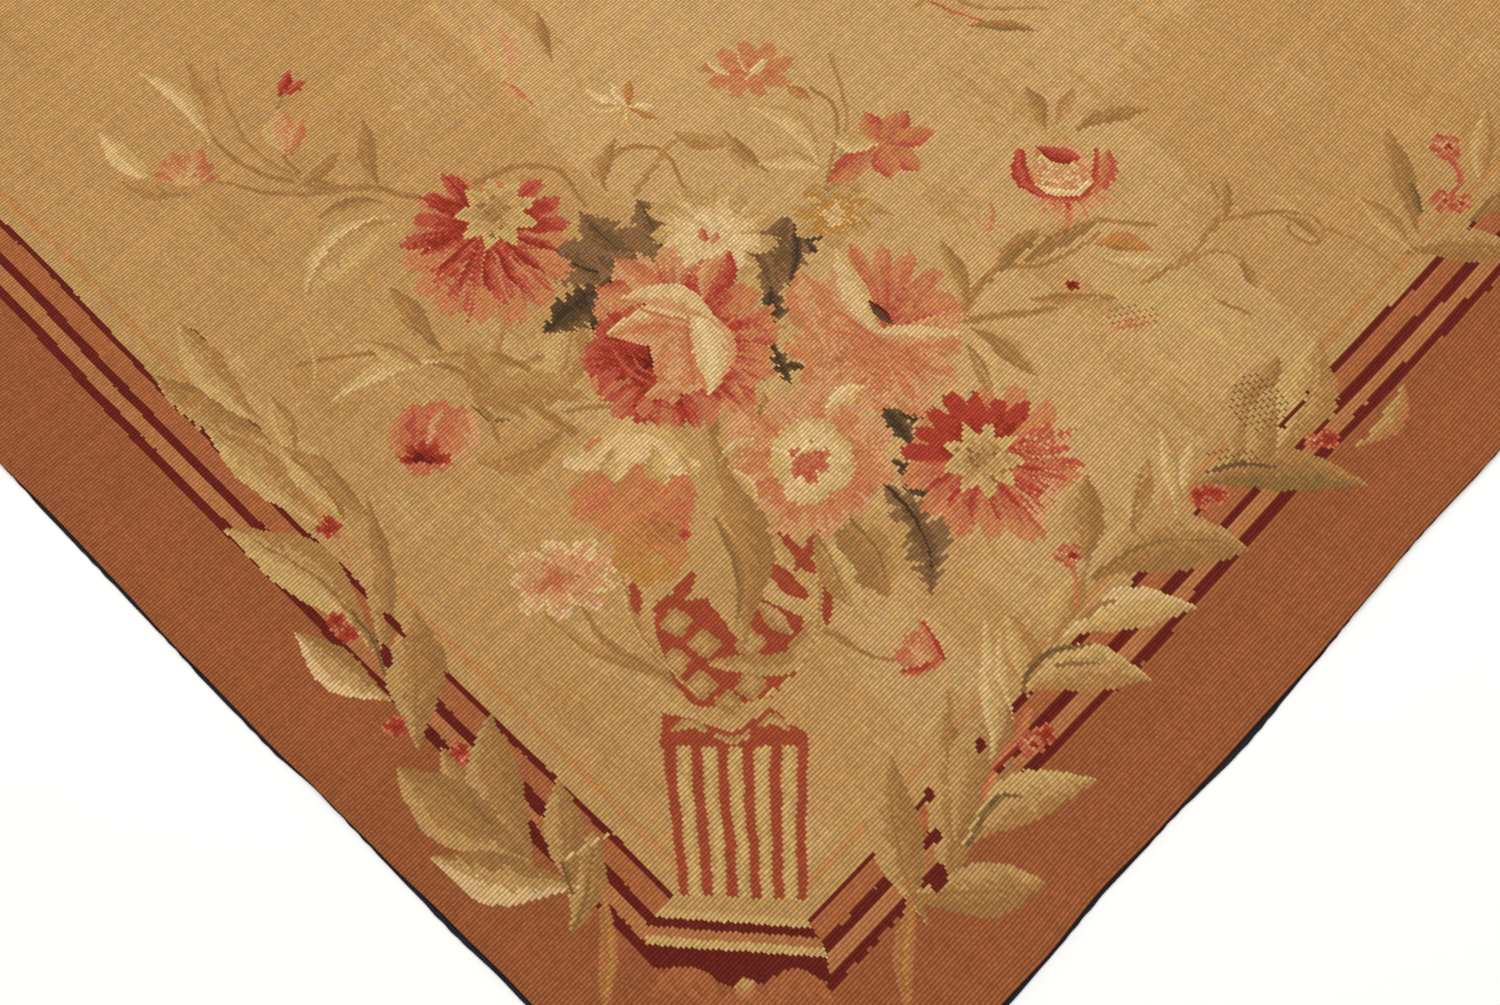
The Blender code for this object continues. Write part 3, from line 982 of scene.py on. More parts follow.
def right_anemone(loom):
    """The open red flower on the right."""
    bloom(loom, 190, 594, 76, 14, "crimson rose coral salmon", 101, notch=0.24, side=0.5)
    bloom(loom, 186, 596, 68, 7, "madder madder crimson crimson", 102, first=42, sweep=140, notch=0.26)
    bloom(loom, 192, 594, 74, 8, "crimson coral rose shell", 103, first=-58, sweep=96, side=0.6, streak=0.7)
    rays(loom, 188, 596, 54, 8, 182, 24, 8, SHADES["rose"])
    eye(loom, 186, 596, 34, 5)


def great_rose(loom):
    """The great rose in front: an outer skirt, a dark heart, and pale petals folded over it."""
    skirt = "crimson rose coral salmon"
    top = "rose coral salmon shell"
    heart = "madder crimson madder crimson rose"
    bloom(loom, -58, 704, 88, 13, skirt, 111, notch=0.22, side=0.6, inner=30)
    bloom(loom, -62, 712, 84, 4, top, 112, first=82, sweep=76, notch=0.2, side=0.6, inner=30)
    bloom(loom, -50, 704, 78, 6, skirt, 113, first=-58, sweep=90, notch=0.3, side=0.6, inner=30)
    bloom(loom, -82, 696, 62, 9, heart, 114, notch=0.1, side=0.4)
    bloom(loom, -68, 684, 60, 7, "madder crimson rose coral", 115, first=196, sweep=130, notch=0.15, side=0.6)
    bloom(loom, -84, 690, 26, 5, "oxblood madder madder crimson", 116, notch=0.2, side=0.6)
    petal(loom, (-58, 750), (-132, 757), 26, "rose coral salmon", bow=-0.05, ragged=0.1)
    petal(loom, (-64, 756), (-114, 786), 26, "coral salmon shell", bow=0.05, ragged=0.1)
    petal(loom, (-38, 742), (-16, 792), 34, "crimson rose salmon shell", ragged=0.15)
    disc(loom, -52, 702, 60, 84, "shell salmon shell", teeth=0.9)
    petal(loom, (-118, 715), (-40, 722), 40, "shell salmon shell cream", bow=0.07, full=0.5)
    petal(loom, (-60, 716), (-64, 651), 36, "salmon shell salmon", full=0.5, teeth=1.1)
    petal(loom, (-52, 664), (-86, 657), 16, "shell salmon", bow=-0.1)
    petal(loom, (-48, 742), (-34, 658), 46, "salmon cream ivory cream shell", bow=0.1, full=0.5)
    petal(loom, (-110, 750), (-24, 724), 25, "shell cream cream", bow=0.14, full=0.5)
    for width, yarns, points in ROSE_FOLDS:
        stem(loom, points, width, yarns, fold=True)


def rosebud(loom):
    """The half-open bud on the left."""
    bloom(loom, -258, 626, 37, 7, "rose coral coral", 121, notch=0.1, side=0.5)
    petal(loom, (-256, 598), (-236, 656), 34, "shell salmon coral", bow=-0.15)
    petal(loom, (-270, 600), (-276, 656), 24, SHADES["pink"], bow=0.2)
    petal(loom, (-262, 618), (-250, 652), 14, "coral shell", ragged=0.2)
    bloom(loom, -266, 604, 22, 5, "oxblood madder crimson", 122, first=-12, sweep=205, notch=0.4)


def cup_flower(loom):
    """The cup-shaped flower on the right, red outside and pale within."""
    outside = "crimson coral salmon shell"
    rim = ((236, 882), (242, 854), (262, 837), (286, 836), (300, 854), (302, 884))
    bloom(loom, 274, 854, 48, 9, outside, 123, first=190, sweep=165, notch=0.3, side=0.5)
    petal(loom, (256, 834), (234, 884), 20, "coral rose crimson", bow=0.12, ragged=0.2)
    petal(loom, (296, 834), (312, 884), 28, "rose coral salmon", bow=-0.06, ragged=0.3)
    stem(loom, rim, 8, "crimson rose")
    bloom(loom, 271, 864, 30, 7, "shell cream salmon shell", 124, high=0.9, notch=0.12, side=0.5)
    petal(loom, (250, 888), (290, 876), 16, "madder crimson rose", bow=-0.1)
    stem(loom, ((248, 850), (262, 841), (284, 841), (296, 852)), 7, "ivory cream", fold=True)


def bowl(loom):
    """The vase's red bowl, with pale lozenges, and the scroll that swings round its right side."""
    where = loom.window(*VASE_MIDDLE, VASE_REACH)
    a = loom.a[where]
    b = loom.b[where]
    left = np.interp(b, BOWL_HEIGHTS, BOWL_LEFT)
    right = np.interp(b, BOWL_HEIGHTS, BOWL_RIGHT)
    inside = (b > BOWL_HEIGHTS[0]) & (b < BOWL_HEIGHTS[-1]) & (a > left) & (a < right)
    loom.weave(where, inside, "redwood")
    for at_a, at_b, radius, turn in LOZENGES:
        star(loom, at_a, at_b, radius, 4, "sandstone tan", turn=turn, waist=0.74)
    for width, points in BOWL_STROKES:
        stem(loom, points, width, "redwood", fold=True)
    stem(loom, BOWL_SCROLL, 17, "tan sandstone", fold=True)
    petal(loom, (0, 482), (30, 452), 17, "tan sandstone")


def foot(loom):
    """The vase's fluted foot, and the cap of scrolls on it."""
    where = loom.window(*VASE_MIDDLE, VASE_REACH)
    a = loom.a[where]
    b = loom.b[where]
    # t runs up the foot, u across it, and flute across each flute and the rib beside it.
    t = (b - FOOT_BOTTOM + 0.05 * (a + 62)) / FOOT_HIGH
    left = -62 - 12 * t
    right = 33 + 4 * t
    u = (a - left) / (right - left)
    flute = (u * FLUTES - 0.2) % 1.0
    inside = (t > 0) & (t < 1) & (u > 0) & (u < 1)
    loom.weave(where, inside, "redwood")
    pale = inside & (np.abs(flute - 0.5) < FLUTE_SHARE / 2) & (u > 0.04) & (u < 0.96) & (b < FLUTES_TOP)
    loom.weave(where, pale, "sandstone straw sandstone", flute, 0.8)
    cap = (b > CAP_BOTTOM) & (b < np.interp(a, CAP_ALONG, CAP_TOP)) & (a > CAP_ALONG[0]) & (a < CAP_ALONG[-1])
    loom.weave(where, cap, "redwood")
    for width, points in CAP_SCROLLS:
        stem(loom, points, width, "tan sandstone", fold=True)


def vase_front(loom):
    """The great leaf and the sprays that hang over the vase."""
    petal(loom, (-38, 640), (-10, 446), 68, "sandstone sandstone tan fawn", bow=0.02, full=0.6, ragged=0.14)
    stem(loom, ((-30, 552), (-16, 524), (-10, 496), (-14, 464)), 7, "fawn olive", fold=True)
    petal(loom, (-26, 598), (6, 618), 10, SHADES["dull cream"], bow=0.1)
    petal(loom, (-18, 594), (2, 560), 12, SHADES["dull cream"], bow=0.1)
    stem(loom, ((50, 500), (48, 455), (34, 425), (6, 402)), 4, "tan straw")
    stem(loom, ((-104, 500), (-90, 455), (-66, 425), (-44, 404)), 5, "tan straw")
    disc(loom, -53, 538, 10, 10, "crimson rose")


def corner_shell(loom):
    """The lobed shell at the corner, with its gold knob."""
    disc(loom, -18, 197, 50, 24, "oxblood")
    for a, b, wide, high in ((-59, 176, 48, 46), (24, 174, 48, 46), (-16, 168, 40, 30)):
        disc(loom, a, b, wide, high, "brick russet", shade_from=(0, -0.6))
    disc(loom, -15, 184, 15, 16, "sandstone ochre", shade_from=(-0.2, 0.3))


def leaves(loom, rows):
    """Draws a table of petals and leaves."""
    for shades, base, tip, width, bow, ragged, vein in rows:
        petal(loom, base, tip, width, SHADES[shades], bow=bow, ragged=ragged, vein=vein)


def field_stems(loom):
    """The thin stems and folded leaves of the field."""
    for shades, width, swells, points in STEMS:
        stem(loom, points, width, SHADES[shades], fold=swells)


def field_leaves(loom):
    """The field's leaves, and those behind and under the bouquet."""
    leaves(loom, LEAVES)


def garlands(loom):
    """The garlands over the stripes, with their small red and pale flowers."""
    leaves(loom, GARLANDS)
    for yarns, width, swells, points in GARLAND_LINES:
        stem(loom, points, width, yarns, fold=swells)
    for a, b, wide, high in CHINKS:
        disc(loom, a, b, wide, high, "oxblood")
    for a, b, wide, high, yarn in SPECKLES:
        speckle(loom, a, b, wide, high, yarn)
    for a, b, size, pale_inside in BERRIES:
        small_bloom(loom, a, b, size, pale_inside)


# From the back of the design to its front.
BACK_TO_FRONT = (
    field,
    border,
    field_stems,
    bowl,
    foot,
    field_leaves,
    pale_flowers,
    cream_peony,
    left_anemone,
    salmon_peony,
    crowned_flower,
    salmon_rose,
    right_anemone,
    great_rose,
    rosebud,
    cup_flower,
    vase_front,
    corner_shell,
    garlands,
)


def whole_chart():
    """The whole rug's chart: one quarter, mirrored about both middle lines."""
    loom = Loom()
    for draw in BACK_TO_FRONT:
        draw(loom)
    half = np.hstack([loom.yarn, loom.yarn[:, ::-1]])
    return np.vstack([half, half[::-1]])


def linear(hex_colour):
    """An sRGB hex colour as the linear numbers that shaders take."""
    parts = [int(hex_colour[n : n + 2], 16) / 255 for n in (1, 3, 5)]
    return [p / 12.92 if p <= 0.04045 else ((p + 0.055) / 1.055) ** 2.4 for p in parts] + [1.0]


def add(tree, kind, inputs=(), **settings):
    """Adds a node. inputs gives a socket's value, or the node or output that feeds it."""
    made = tree.nodes.new(kind)
    for name, value in settings.items():
        setattr(made, name, value)
    for socket, value in dict(inputs).items():
        if isinstance(value, bpy.types.Node):
            value = value.outputs[0]
        if isinstance(value, bpy.types.NodeSocket):
            tree.links.new(value, made.inputs[socket])
        else:
            made.inputs[socket].default_value = value
    return made


MATHS = "ShaderNodeMath"
VECTOR_MATHS = "ShaderNodeVectorMath"
SEPARATE = "ShaderNodeSeparateXYZ"
MIX = "ShaderNodeMix"
# A Mix node's sockets for numbers, vectors and colours: what it takes, and then what it gives.
MIX_NUMBER_A = 2
MIX_NUMBER_B = 3
MIX_VECTOR_A = 4
MIX_VECTOR_B = 5
MIX_COLOUR_A = 6
MIX_COLOUR_B = 7
MIX_NUMBER = 0
MIX_VECTOR = 1
MIX_COLOUR = 2

# How much tone strays between stitches, between ribs, along a dye lot's streaks and over broad wear.
TONE_STITCH = 0.24
TONE_RIB = 0.10
TONE_STREAK = 0.15
TONE_WEAR = 0.16
# A dye lot's streaks are 18 mm by 330 mm, and broad wear changes over 250 mm: per metre, X then Y.
STREAKS = (55.0, 3.0, 1.0)
WEAR = 4.0
# Painted shade: the colour is darkened to this in the groove beside a rib, where shade falls, and painted
# brighter by this much on its lit crest.
GROOVE_PAINTED_SHADE = 0.49
CREST_PAINTED_LIGHT = 0.50
# A stitch's own hue: white noise times the first, plus the second.
HUE_SPREAD = (0.08, 0.12, 0.34)
HUE_LEAST = (0.96, 0.94, 0.83)
# Relief in metres, and what stitches and stray fibres add to a rib's own.
RIB_RELIEF = 0.0006
STITCH_RELIEF = 0.22
FIBRE_RELIEF = 0.10
# The twill's slanting ribs, in millimetres apart. A Wave texture's bands are a tenth of pi apart.
TWILL_MM = 2.417
TWILL_SCALE = math.pi / 10 / (TWILL_MM * MM)
TWILL_SLANT = math.radians(27)


def chart_colour(tree, weave):
    """The dyed colour of each stitch, found from the numbers that the cloth's faces carry."""
    quads = add(tree, VECTOR_MATHS, {0: weave, 1: (QUADS_ALONG, QUADS_ACROSS, 1)}, operation="MULTIPLY")
    inside = add(tree, VECTOR_MATHS, {0: quads}, operation="FRACTION")
    cell = add(tree, VECTOR_MATHS, {0: inside, 1: (STITCHES_IN_QUAD, RIBS_IN_QUAD, 1)}, operation="MULTIPLY")
    cell = add(tree, VECTOR_MATHS, {0: cell}, operation="FLOOR")
    cell = add(tree, SEPARATE, {0: cell})
    stitch = cell.outputs["X"]
    rib = cell.outputs["Y"]

    # The vector of the rib that the point is on.
    ribs = [
        add(tree, "ShaderNodeAttribute", attribute_name=RIB_NAME.format(n)).outputs["Vector"]
        for n in range(RIBS_IN_QUAD)
    ]
    vector = ribs[0]
    for n in range(1, RIBS_IN_QUAD):
        beyond = add(tree, MATHS, {0: rib, 1: n - 0.5}, operation="GREATER_THAN")
        chosen = {0: beyond, MIX_VECTOR_A: vector, MIX_VECTOR_B: ribs[n]}
        vector = add(tree, MIX, chosen, data_type="VECTOR").outputs[MIX_VECTOR]
    numbers = add(tree, SEPARATE, {0: vector}).outputs

    # The number that holds the stitch, and the stitch's own digit in it.
    group = add(tree, MATHS, {0: stitch, 1: STITCHES_IN_NUMBER}, operation="DIVIDE")
    group = add(tree, MATHS, {0: group}, operation="FLOOR")
    number = numbers[0]
    for n in range(1, NUMBERS_IN_RIB):
        beyond = add(tree, MATHS, {0: group, 1: n - 0.5}, operation="GREATER_THAN")
        chosen = {0: beyond, MIX_NUMBER_A: number, MIX_NUMBER_B: numbers[n]}
        number = add(tree, MIX, chosen, data_type="FLOAT").outputs[MIX_NUMBER]
    passed = add(tree, MATHS, {0: group, 1: STITCHES_IN_NUMBER}, operation="MULTIPLY")
    digit = add(tree, MATHS, {0: stitch, 1: passed}, operation="SUBTRACT")
    share = add(tree, MATHS, {0: MOST_YARNS, 1: digit}, operation="POWER")
    share = add(tree, MATHS, {0: share}, operation="ROUND")
    number = add(tree, MATHS, {0: number, 1: share}, operation="DIVIDE")
    number = add(tree, MATHS, {0: number}, operation="FLOOR")
    yarn = add(tree, MATHS, {0: number, 1: MOST_YARNS}, operation="FLOORED_MODULO")
    place = add(tree, MATHS, {0: yarn, 1: 0.5}, operation="ADD")
    place = add(tree, MATHS, {0: place, 1: MOST_YARNS}, operation="DIVIDE")
    colours = add(tree, "ShaderNodeValToRGB", {0: place})
    ramp = colours.color_ramp
    ramp.interpolation = "CONSTANT"
    ramp.elements.remove(ramp.elements[1])
    for n, hex_colour in enumerate(YARNS.values()):
        stop = ramp.elements[0] if n == 0 else ramp.elements.new(n / MOST_YARNS)
        stop.color = linear(hex_colour)
    return colours


def wool_material():
    """Dyed wool weft packed over thick warps: matt, ribbed, each stitch a little its own tone, with shade
    painted into the grooves between ribs.
    """
    material = bpy.data.materials.new("dyed_wool_tapestry_weave")
    material.use_nodes = True
    tree = material.node_tree
    shader = tree.nodes["Principled BSDF"]
    shader.inputs["Roughness"].default_value = 0.92
    shader.inputs["IOR"].default_value = 1.5
    # Loose fibres scatter nearly all of the light, so it shines far less than its IOR would give.
    shader.inputs["Specular IOR Level"].default_value = 0.08

    # The weave's own map runs from 0 to 1 along the rug and across it.
    weave = add(tree, "ShaderNodeUVMap", uv_map=WEAVE_MAP)
    colours = chart_colour(tree, weave)
    stitches = add(tree, VECTOR_MATHS, {0: weave, 1: (STITCHES_ALONG, RIBS_ACROSS, 1)}, operation="MULTIPLY")
    place = add(tree, SEPARATE, {0: stitches})
    metres = add(tree, VECTOR_MATHS, {0: weave, 1: (LENGTH, WIDTH, 1)}, operation="MULTIPLY")

    # A rib's round back: bright on its crest and dark in the groove beside it. It shapes the relief, and also
    # paints shade into the colour.
    rib = add(tree, MATHS, {0: place.outputs["Y"]}, operation="FLOOR")
    crest = add(tree, MATHS, {0: place.outputs["Y"]}, operation="FRACT")
    crest = add(tree, MATHS, {0: crest, 1: math.pi}, operation="MULTIPLY")
    crest = add(tree, MATHS, {0: crest}, operation="SINE")
    crest = add(tree, MATHS, {0: crest, 1: 0.0}, operation="MAXIMUM")
    crest = add(tree, MATHS, {0: crest, 1: 0.75}, operation="POWER")

    # Tone: painted shade, dark in each groove and light on each crest, then each stitch's and each rib's own,
    # a dye lot's streaks across the ribs, and broad wear.
    own = add(tree, VECTOR_MATHS, {0: stitches}, operation="FLOOR")
    own = add(tree, "ShaderNodeTexWhiteNoise", {"Vector": own}, noise_dimensions="2D")
    rib_own = add(tree, "ShaderNodeTexWhiteNoise", {"W": rib}, noise_dimensions="1D")
    streak = add(tree, VECTOR_MATHS, {0: metres, 1: STREAKS}, operation="MULTIPLY")
    streak = {"Vector": streak, "Scale": 1.0, "Detail": 3.0, "Roughness": 0.6}
    streak = add(tree, "ShaderNodeTexNoise", streak, noise_dimensions="2D")
    wear = {"Vector": metres, "Scale": WEAR, "Detail": 3.0, "Roughness": 0.55}
    wear = add(tree, "ShaderNodeTexNoise", wear, noise_dimensions="2D")
    # Painted shade: the rib's groove and crest darken and lighten the yarn's colour itself.
    tone = add(tree, MATHS, {0: crest, 1: CREST_PAINTED_LIGHT, 2: GROOVE_PAINTED_SHADE}, operation="MULTIPLY_ADD")
    for stray, spread in ((own, TONE_STITCH), (rib_own, TONE_RIB), (streak, TONE_STREAK), (wear, TONE_WEAR)):
        stray = add(tree, MATHS, {0: stray, 1: spread, 2: 1 - spread / 2}, operation="MULTIPLY_ADD")
        tone = add(tree, MATHS, {0: tone, 1: stray}, operation="MULTIPLY")
    shaded_and_toned = add(tree, VECTOR_MATHS, {0: colours, "Scale": tone}, operation="SCALE")
    hue = {0: own.outputs["Color"], 1: HUE_SPREAD, 2: HUE_LEAST}
    hue = add(tree, VECTOR_MATHS, hue, operation="MULTIPLY_ADD")
    shaded_and_toned = add(tree, VECTOR_MATHS, {0: shaded_and_toned, 1: hue}, operation="MULTIPLY")
    tree.links.new(shaded_and_toned.outputs[0], shader.inputs["Base Color"])

    # Relief: the ribs, and the packs of weft, which step by half a stitch from rib to rib.
    step = add(tree, MATHS, {0: rib, 1: 2.0}, operation="FLOORED_MODULO")
    pack = add(tree, MATHS, {0: step, 1: 0.5, 2: place.outputs["X"]}, operation="MULTIPLY_ADD")
    pack = add(tree, MATHS, {0: pack}, operation="FRACT")
    pack = add(tree, MATHS, {0: pack, 1: math.pi}, operation="MULTIPLY")
    pack = add(tree, MATHS, {0: pack}, operation="SINE")
    pack = add(tree, MATHS, {0: pack, 1: STITCH_RELIEF, 2: 1.0}, operation="MULTIPLY_ADD")
    height = add(tree, MATHS, {0: pack, 1: crest}, operation="MULTIPLY")
    height = add(tree, MATHS, {0: own, 1: FIBRE_RELIEF, 2: height}, operation="MULTIPLY_ADD")
    bump = add(tree, "ShaderNodeBump", {"Strength": 0.85, "Distance": RIB_RELIEF, "Height": height})
    tree.links.new(bump.outputs[0], shader.inputs["Normal"])
    return material


def twill_material():
    """Navy cotton twill tape, nearly black: matt, with fine slanting ribs and a little dust."""
    material = bpy.data.materials.new("navy_cotton_twill")
    material.use_nodes = True
    tree = material.node_tree
    shader = tree.nodes["Principled BSDF"]
    shader.inputs["Roughness"].default_value = 0.9
    shader.inputs["Specular IOR Level"].default_value = 0.12
    place = add(tree, "ShaderNodeTexCoord").outputs["Object"]
    slant = add(tree, "ShaderNodeMapping", {"Vector": place, "Rotation": (0, 0, TWILL_SLANT)})
    twill = {"Vector": slant, "Scale": TWILL_SCALE, "Distortion": 1.5, "Detail": 1.0, "Detail Scale": 2.0}
    twill = add(tree, "ShaderNodeTexWave", twill, wave_type="BANDS").outputs["Fac"]
    dust = add(tree, "ShaderNodeTexNoise", {"Vector": place, "Scale": 60.0, "Detail": 4.0})
    colours = add(tree, "ShaderNodeValToRGB", {0: twill})
    colours.color_ramp.elements[0].color = linear("#0e0e12")
    colours.color_ramp.elements[1].color = linear("#1c1c23")
    dusty = {0: dust, MIX_COLOUR_A: colours, MIX_COLOUR_B: linear("#2c2a2f")}
    dusty = add(tree, MIX, dusty, data_type="RGBA").outputs[MIX_COLOUR]
    tree.links.new(dusty, shader.inputs["Base Color"])
    bump = add(tree, "ShaderNodeBump", {"Strength": 0.5, "Distance": 0.0003, "Height": twill})
    tree.links.new(bump.outputs[0], shader.inputs["Normal"])
    return material


def deselect_all():
    for obj in bpy.context.selected_objects:
        obj.select_set(False)


def eased(share):
    """A smooth step from 0 to 1."""
    return 0.5 - 0.5 * np.cos(np.pi * np.clip(share, 0.0, 1.0))


def along_edge(rows, places, column):
    """A column of an edge's table, in metres, at places along the edge in metres."""
    table = np.array(rows, dtype=float)
    at = np.clip(np.asarray(places, dtype=float) / MM, table[0, 0], table[-1, 0])
    low = np.clip(np.searchsorted(table[:, 0], at, side="right") - 1, 0, len(table) - 2)
    share = eased((at - table[low, 0]) / (table[low + 1, 0] - table[low, 0]))
    return (table[low, column] + (table[low + 1, column] - table[low, column]) * share) * MM


def hold(distance):
    """How much of an edge's wander reaches this far in from it."""
    return 1.0 - eased(distance / WANDER_REACH)


def wandered(x, y):
    """Where points of the straight, square weave go when its edges wander, from its low corner."""
    start = along_edge(START_END, y, INSIDE_LINE) * hold(x)
    finish = along_edge(FINISH_END, y, INSIDE_LINE) * hold(LENGTH - x)
    near = along_edge(NEAR_SIDE, x, INSIDE_LINE) * hold(y)
    far = along_edge(FAR_SIDE, x, INSIDE_LINE) * hold(WIDTH - y)
    return x + start - finish, y + near - far


def low_corner():
    """The straight weave's low corner in the frame, where the cloth's edges lie on the CAD cloth's."""
    x = np.linspace(0, LENGTH, 800)
    y = np.linspace(0, WIDTH, 600)
    start = wandered(np.zeros_like(y), y)[0].min()
    finish = wandered(np.full_like(y, LENGTH), y)[0].max()
    near = wandered(x, np.zeros_like(x))[1].min()
    far = wandered(x, np.full_like(x, WIDTH))[1].max()
    low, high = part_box("cloth")
    return (low[0] + high[0] - start - finish) / 2, (low[1] + high[1] - near - far) / 2


LOW_CORNER = low_corner()


def laid(x, y):
    """Where points of the straight, square weave lie in the frame."""
    x, y = wandered(x, y)
    return x + LOW_CORNER[0], y + LOW_CORNER[1]


def lift(x, y):
    """How high the cloth's underside lies: on the tapes near the edges, and else on the floor."""
    inside = np.minimum(np.minimum(x, LENGTH - x), np.minimum(y, WIDTH - y))
    share = (TAPE_TUCK + TAPE_CLEARANCE + CLIMB - inside) / CLIMB
    return (TAPE_THICK + FIT_GAP) * eased(share)


def cockle(x, y):
    """The small unevenness of a hand-woven cloth on a floor: waves of 0.5 to 1.6 m, bent by others."""
    waves = np.sin(x / 0.083 + 1.3 * np.sin(y / 0.21)) * np.sin(y / 0.117 + 0.9 * np.sin(x / 0.26))
    return COCKLE * (0.5 + 0.5 * waves)


def grid(name, cells_x, cells_y):
    """A flat grid with a UV map, and its points as shares of its length and width."""
    deselect_all()
    bpy.ops.mesh.primitive_grid_add(x_subdivisions=cells_x, y_subdivisions=cells_y, size=1.0, calc_uvs=True)
    made = bpy.context.object
    made.name = name
    points = np.empty(len(made.data.vertices) * 3)
    made.data.vertices.foreach_get("co", points)
    points = points.reshape(-1, 3)
    return made, points[:, 0] + 0.5, points[:, 1] + 0.5


def lay(made, x, y, z):
    """Moves a grid's points to their places."""
    made.data.vertices.foreach_set("co", np.column_stack([x, y, z]).ravel())
    made.data.update()
    if made.data.polygons[0].normal.z < 0:
        made.data.flip_normals()


def thicken(made, thickness):
    """Gives a grid its thickness, upwards."""
    thick = made.modifiers.new("thickness", "SOLIDIFY")
    thick.thickness = thickness
    thick.offset = 1.0
    bpy.ops.object.modifier_apply(modifier=thick.name)


def woven_cloth(chart):
    """The cloth: a grid laid as the weave lies, with the chart on its faces, and thickened."""
    cloth, x, y = grid("tapestry_cloth", QUADS_ALONG, QUADS_ACROSS)
    mesh = cloth.data
    mesh.uv_layers[0].name = WEAVE_MAP
    centres = np.empty(len(mesh.polygons) * 3)
    mesh.polygons.foreach_get("center", centres)
    centres = centres.reshape(-1, 3)
    column = np.floor((centres[:, 0] + 0.5) * QUADS_ALONG).astype(int)
    row = np.floor((centres[:, 1] + 0.5) * QUADS_ACROSS).astype(int)
    digits = chart.reshape(QUADS_ACROSS, RIBS_IN_QUAD, QUADS_ALONG, NUMBERS_IN_RIB, STITCHES_IN_NUMBER)
    numbers = (digits.astype(np.int64) * MOST_YARNS ** np.arange(STITCHES_IN_NUMBER)).sum(axis=4)
    for n in range(RIBS_IN_QUAD):
        held = mesh.attributes.new(RIB_NAME.format(n), "FLOAT_VECTOR", "FACE")
        held.data.foreach_set("vector", numbers[row, n, column].astype(np.float32).ravel())
    x = x * LENGTH
    y = y * WIDTH
    lay(cloth, *laid(x, y), lift(x, y) + cockle(x, y))
    mesh.shade_smooth()
    thicken(cloth, CLOTH_THICK)
    rim = cloth.modifiers.new("worn_rim", "BEVEL")
    rim.limit_method = "ANGLE"
    rim.angle_limit = math.radians(60)
    rim.width = RIM_WEAR
    rim.segments = 2
    bpy.ops.object.modifier_apply(modifier=rim.name)
    cloth.data.materials.append(wool_material())
    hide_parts("cloth")
    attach(cloth, "root")


def fray(place):
    """How far a tape's outer edge strays, place by place along it."""
    return TAPE_FRAY * np.sin(place / 0.0041 + 3.0 * np.sin(place / 0.017)) * np.sin(place / 0.031)


def tape_strip(name, node, rows, along_x, at_high, material):
    """A binding tape: a long strip laid under one edge of the cloth, which shows past it."""
    tape, run, side = grid(name, TAPE_CELLS_ALONG, TAPE_CELLS_ACROSS)
    if along_x:
        across = WIDTH if at_high else 0.0
        first = -along_edge(START_END, across, TAPE_SHOWS)
        last = LENGTH + along_edge(FINISH_END, across, TAPE_SHOWS)
    else:
        first = TAPE_TUCK + BUTT_GAP
        last = WIDTH - first
    place = first + (last - first) * run
    shows = along_edge(rows, place, TAPE_SHOWS)
    outer = -shows - fray(place)
    inward = outer + (TAPE_TUCK - outer) * side
    if at_high:
        inward = (WIDTH if along_x else LENGTH) - inward
    x, y = laid(place, inward) if along_x else laid(inward, place)
    lay(tape, x, y, np.zeros_like(x))
    thicken(tape, TAPE_THICK)
    tape.data.materials.append(material)
    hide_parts(node)
    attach(tape, "root")


# The camera, from the rug's low corner, in millimetres: where it stands, the point on the floor that
# it looks at, and how far it is turned round its own line of sight.
CAMERA_FROM_CORNER = (64.2, 51.8, 1277.3)
CAMERA_LOOKS_AT = (398.05, 400.54, 0)
CAMERA_ROLL = math.radians(-2.43)
CAMERA_LENS_MM = 40.9
CAMERA_SENSOR_MM = 36.0


def from_corner(place):
    """A place given in millimetres from the rug's low corner, in the frame."""
    return Vector((LOW_CORNER[0] + place[0] * MM, LOW_CORNER[1] + place[1] * MM, place[2] * MM))


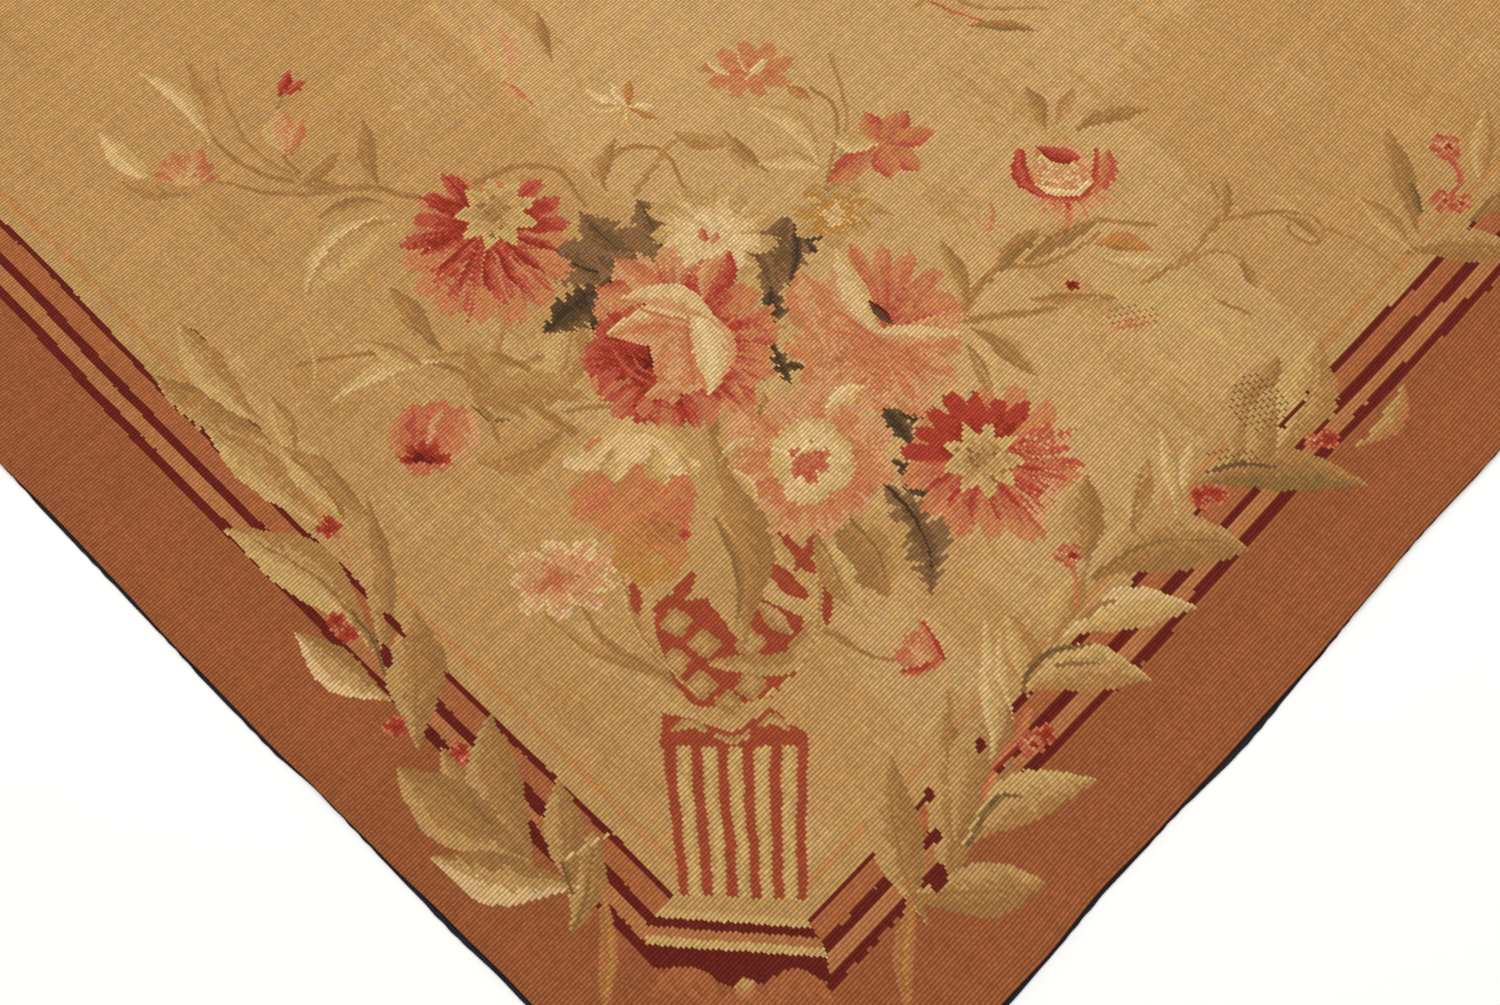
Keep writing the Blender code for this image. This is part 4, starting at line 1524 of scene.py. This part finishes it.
def camera():
    """The photo's view, from above the rug's low corner."""
    data = bpy.data.cameras.new("camera")
    data.lens = CAMERA_LENS_MM
    data.sensor_width = CAMERA_SENSOR_MM
    made = bpy.data.objects.new("camera", data)
    bpy.context.collection.objects.link(made)
    made.location = from_corner(CAMERA_FROM_CORNER)
    sight = from_corner(CAMERA_LOOKS_AT) - made.location
    turn = sight.to_track_quat("-Z", "Y") @ Quaternion((0, 0, 1), CAMERA_ROLL)
    made.rotation_euler = turn.to_euler()
    bpy.context.scene.camera = made


FLOOR_SIZE = 30.0
FLOOR_GAP = 0.0005
SKY = (1.0, 0.985, 0.96, 1.0)
SKY_STRENGTH = 0.68
LAMP_SIZE = 2.5
LAMP_WATTS = 68.0
LAMP_AT = (-0.7, -0.1, 2.9)
LAMP_LOOKS_AT = (-0.9, -0.5, 0.0)


def studio():
    """A pale floor, an even pale sky, and one large soft light over the rug."""
    deselect_all()
    bpy.ops.mesh.primitive_plane_add(size=FLOOR_SIZE, location=(0, 0, -FLOOR_GAP))
    floor = bpy.context.object
    floor.name = "floor"
    material = bpy.data.materials.new("pale_floor")
    material.use_nodes = True
    paint = material.node_tree.nodes["Principled BSDF"]
    paint.inputs["Base Color"].default_value = linear("#f2f1ef")
    paint.inputs["Roughness"].default_value = 0.9
    floor.data.materials.append(material)
    world = bpy.data.worlds.new("studio")
    bpy.context.scene.world = world
    world.use_nodes = True
    sky = world.node_tree.nodes["Background"]
    sky.inputs["Color"].default_value = SKY
    sky.inputs["Strength"].default_value = SKY_STRENGTH
    light = bpy.data.lights.new("soft_light", "AREA")
    light.shape = "RECTANGLE"
    light.size = LAMP_SIZE
    light.size_y = LAMP_SIZE
    light.energy = LAMP_WATTS
    lamp = bpy.data.objects.new("soft_light", light)
    bpy.context.collection.objects.link(lamp)
    lamp.location = LAMP_AT
    lamp.rotation_euler = (Vector(LAMP_LOOKS_AT) - lamp.location).to_track_quat("-Z", "Y").to_euler()
    bpy.context.scene.view_settings.view_transform = "Standard"


camera()
studio()
twill = twill_material()
for tape_facts in TAPES:
    tape_strip(*tape_facts, twill)
woven_cloth(whole_chart())
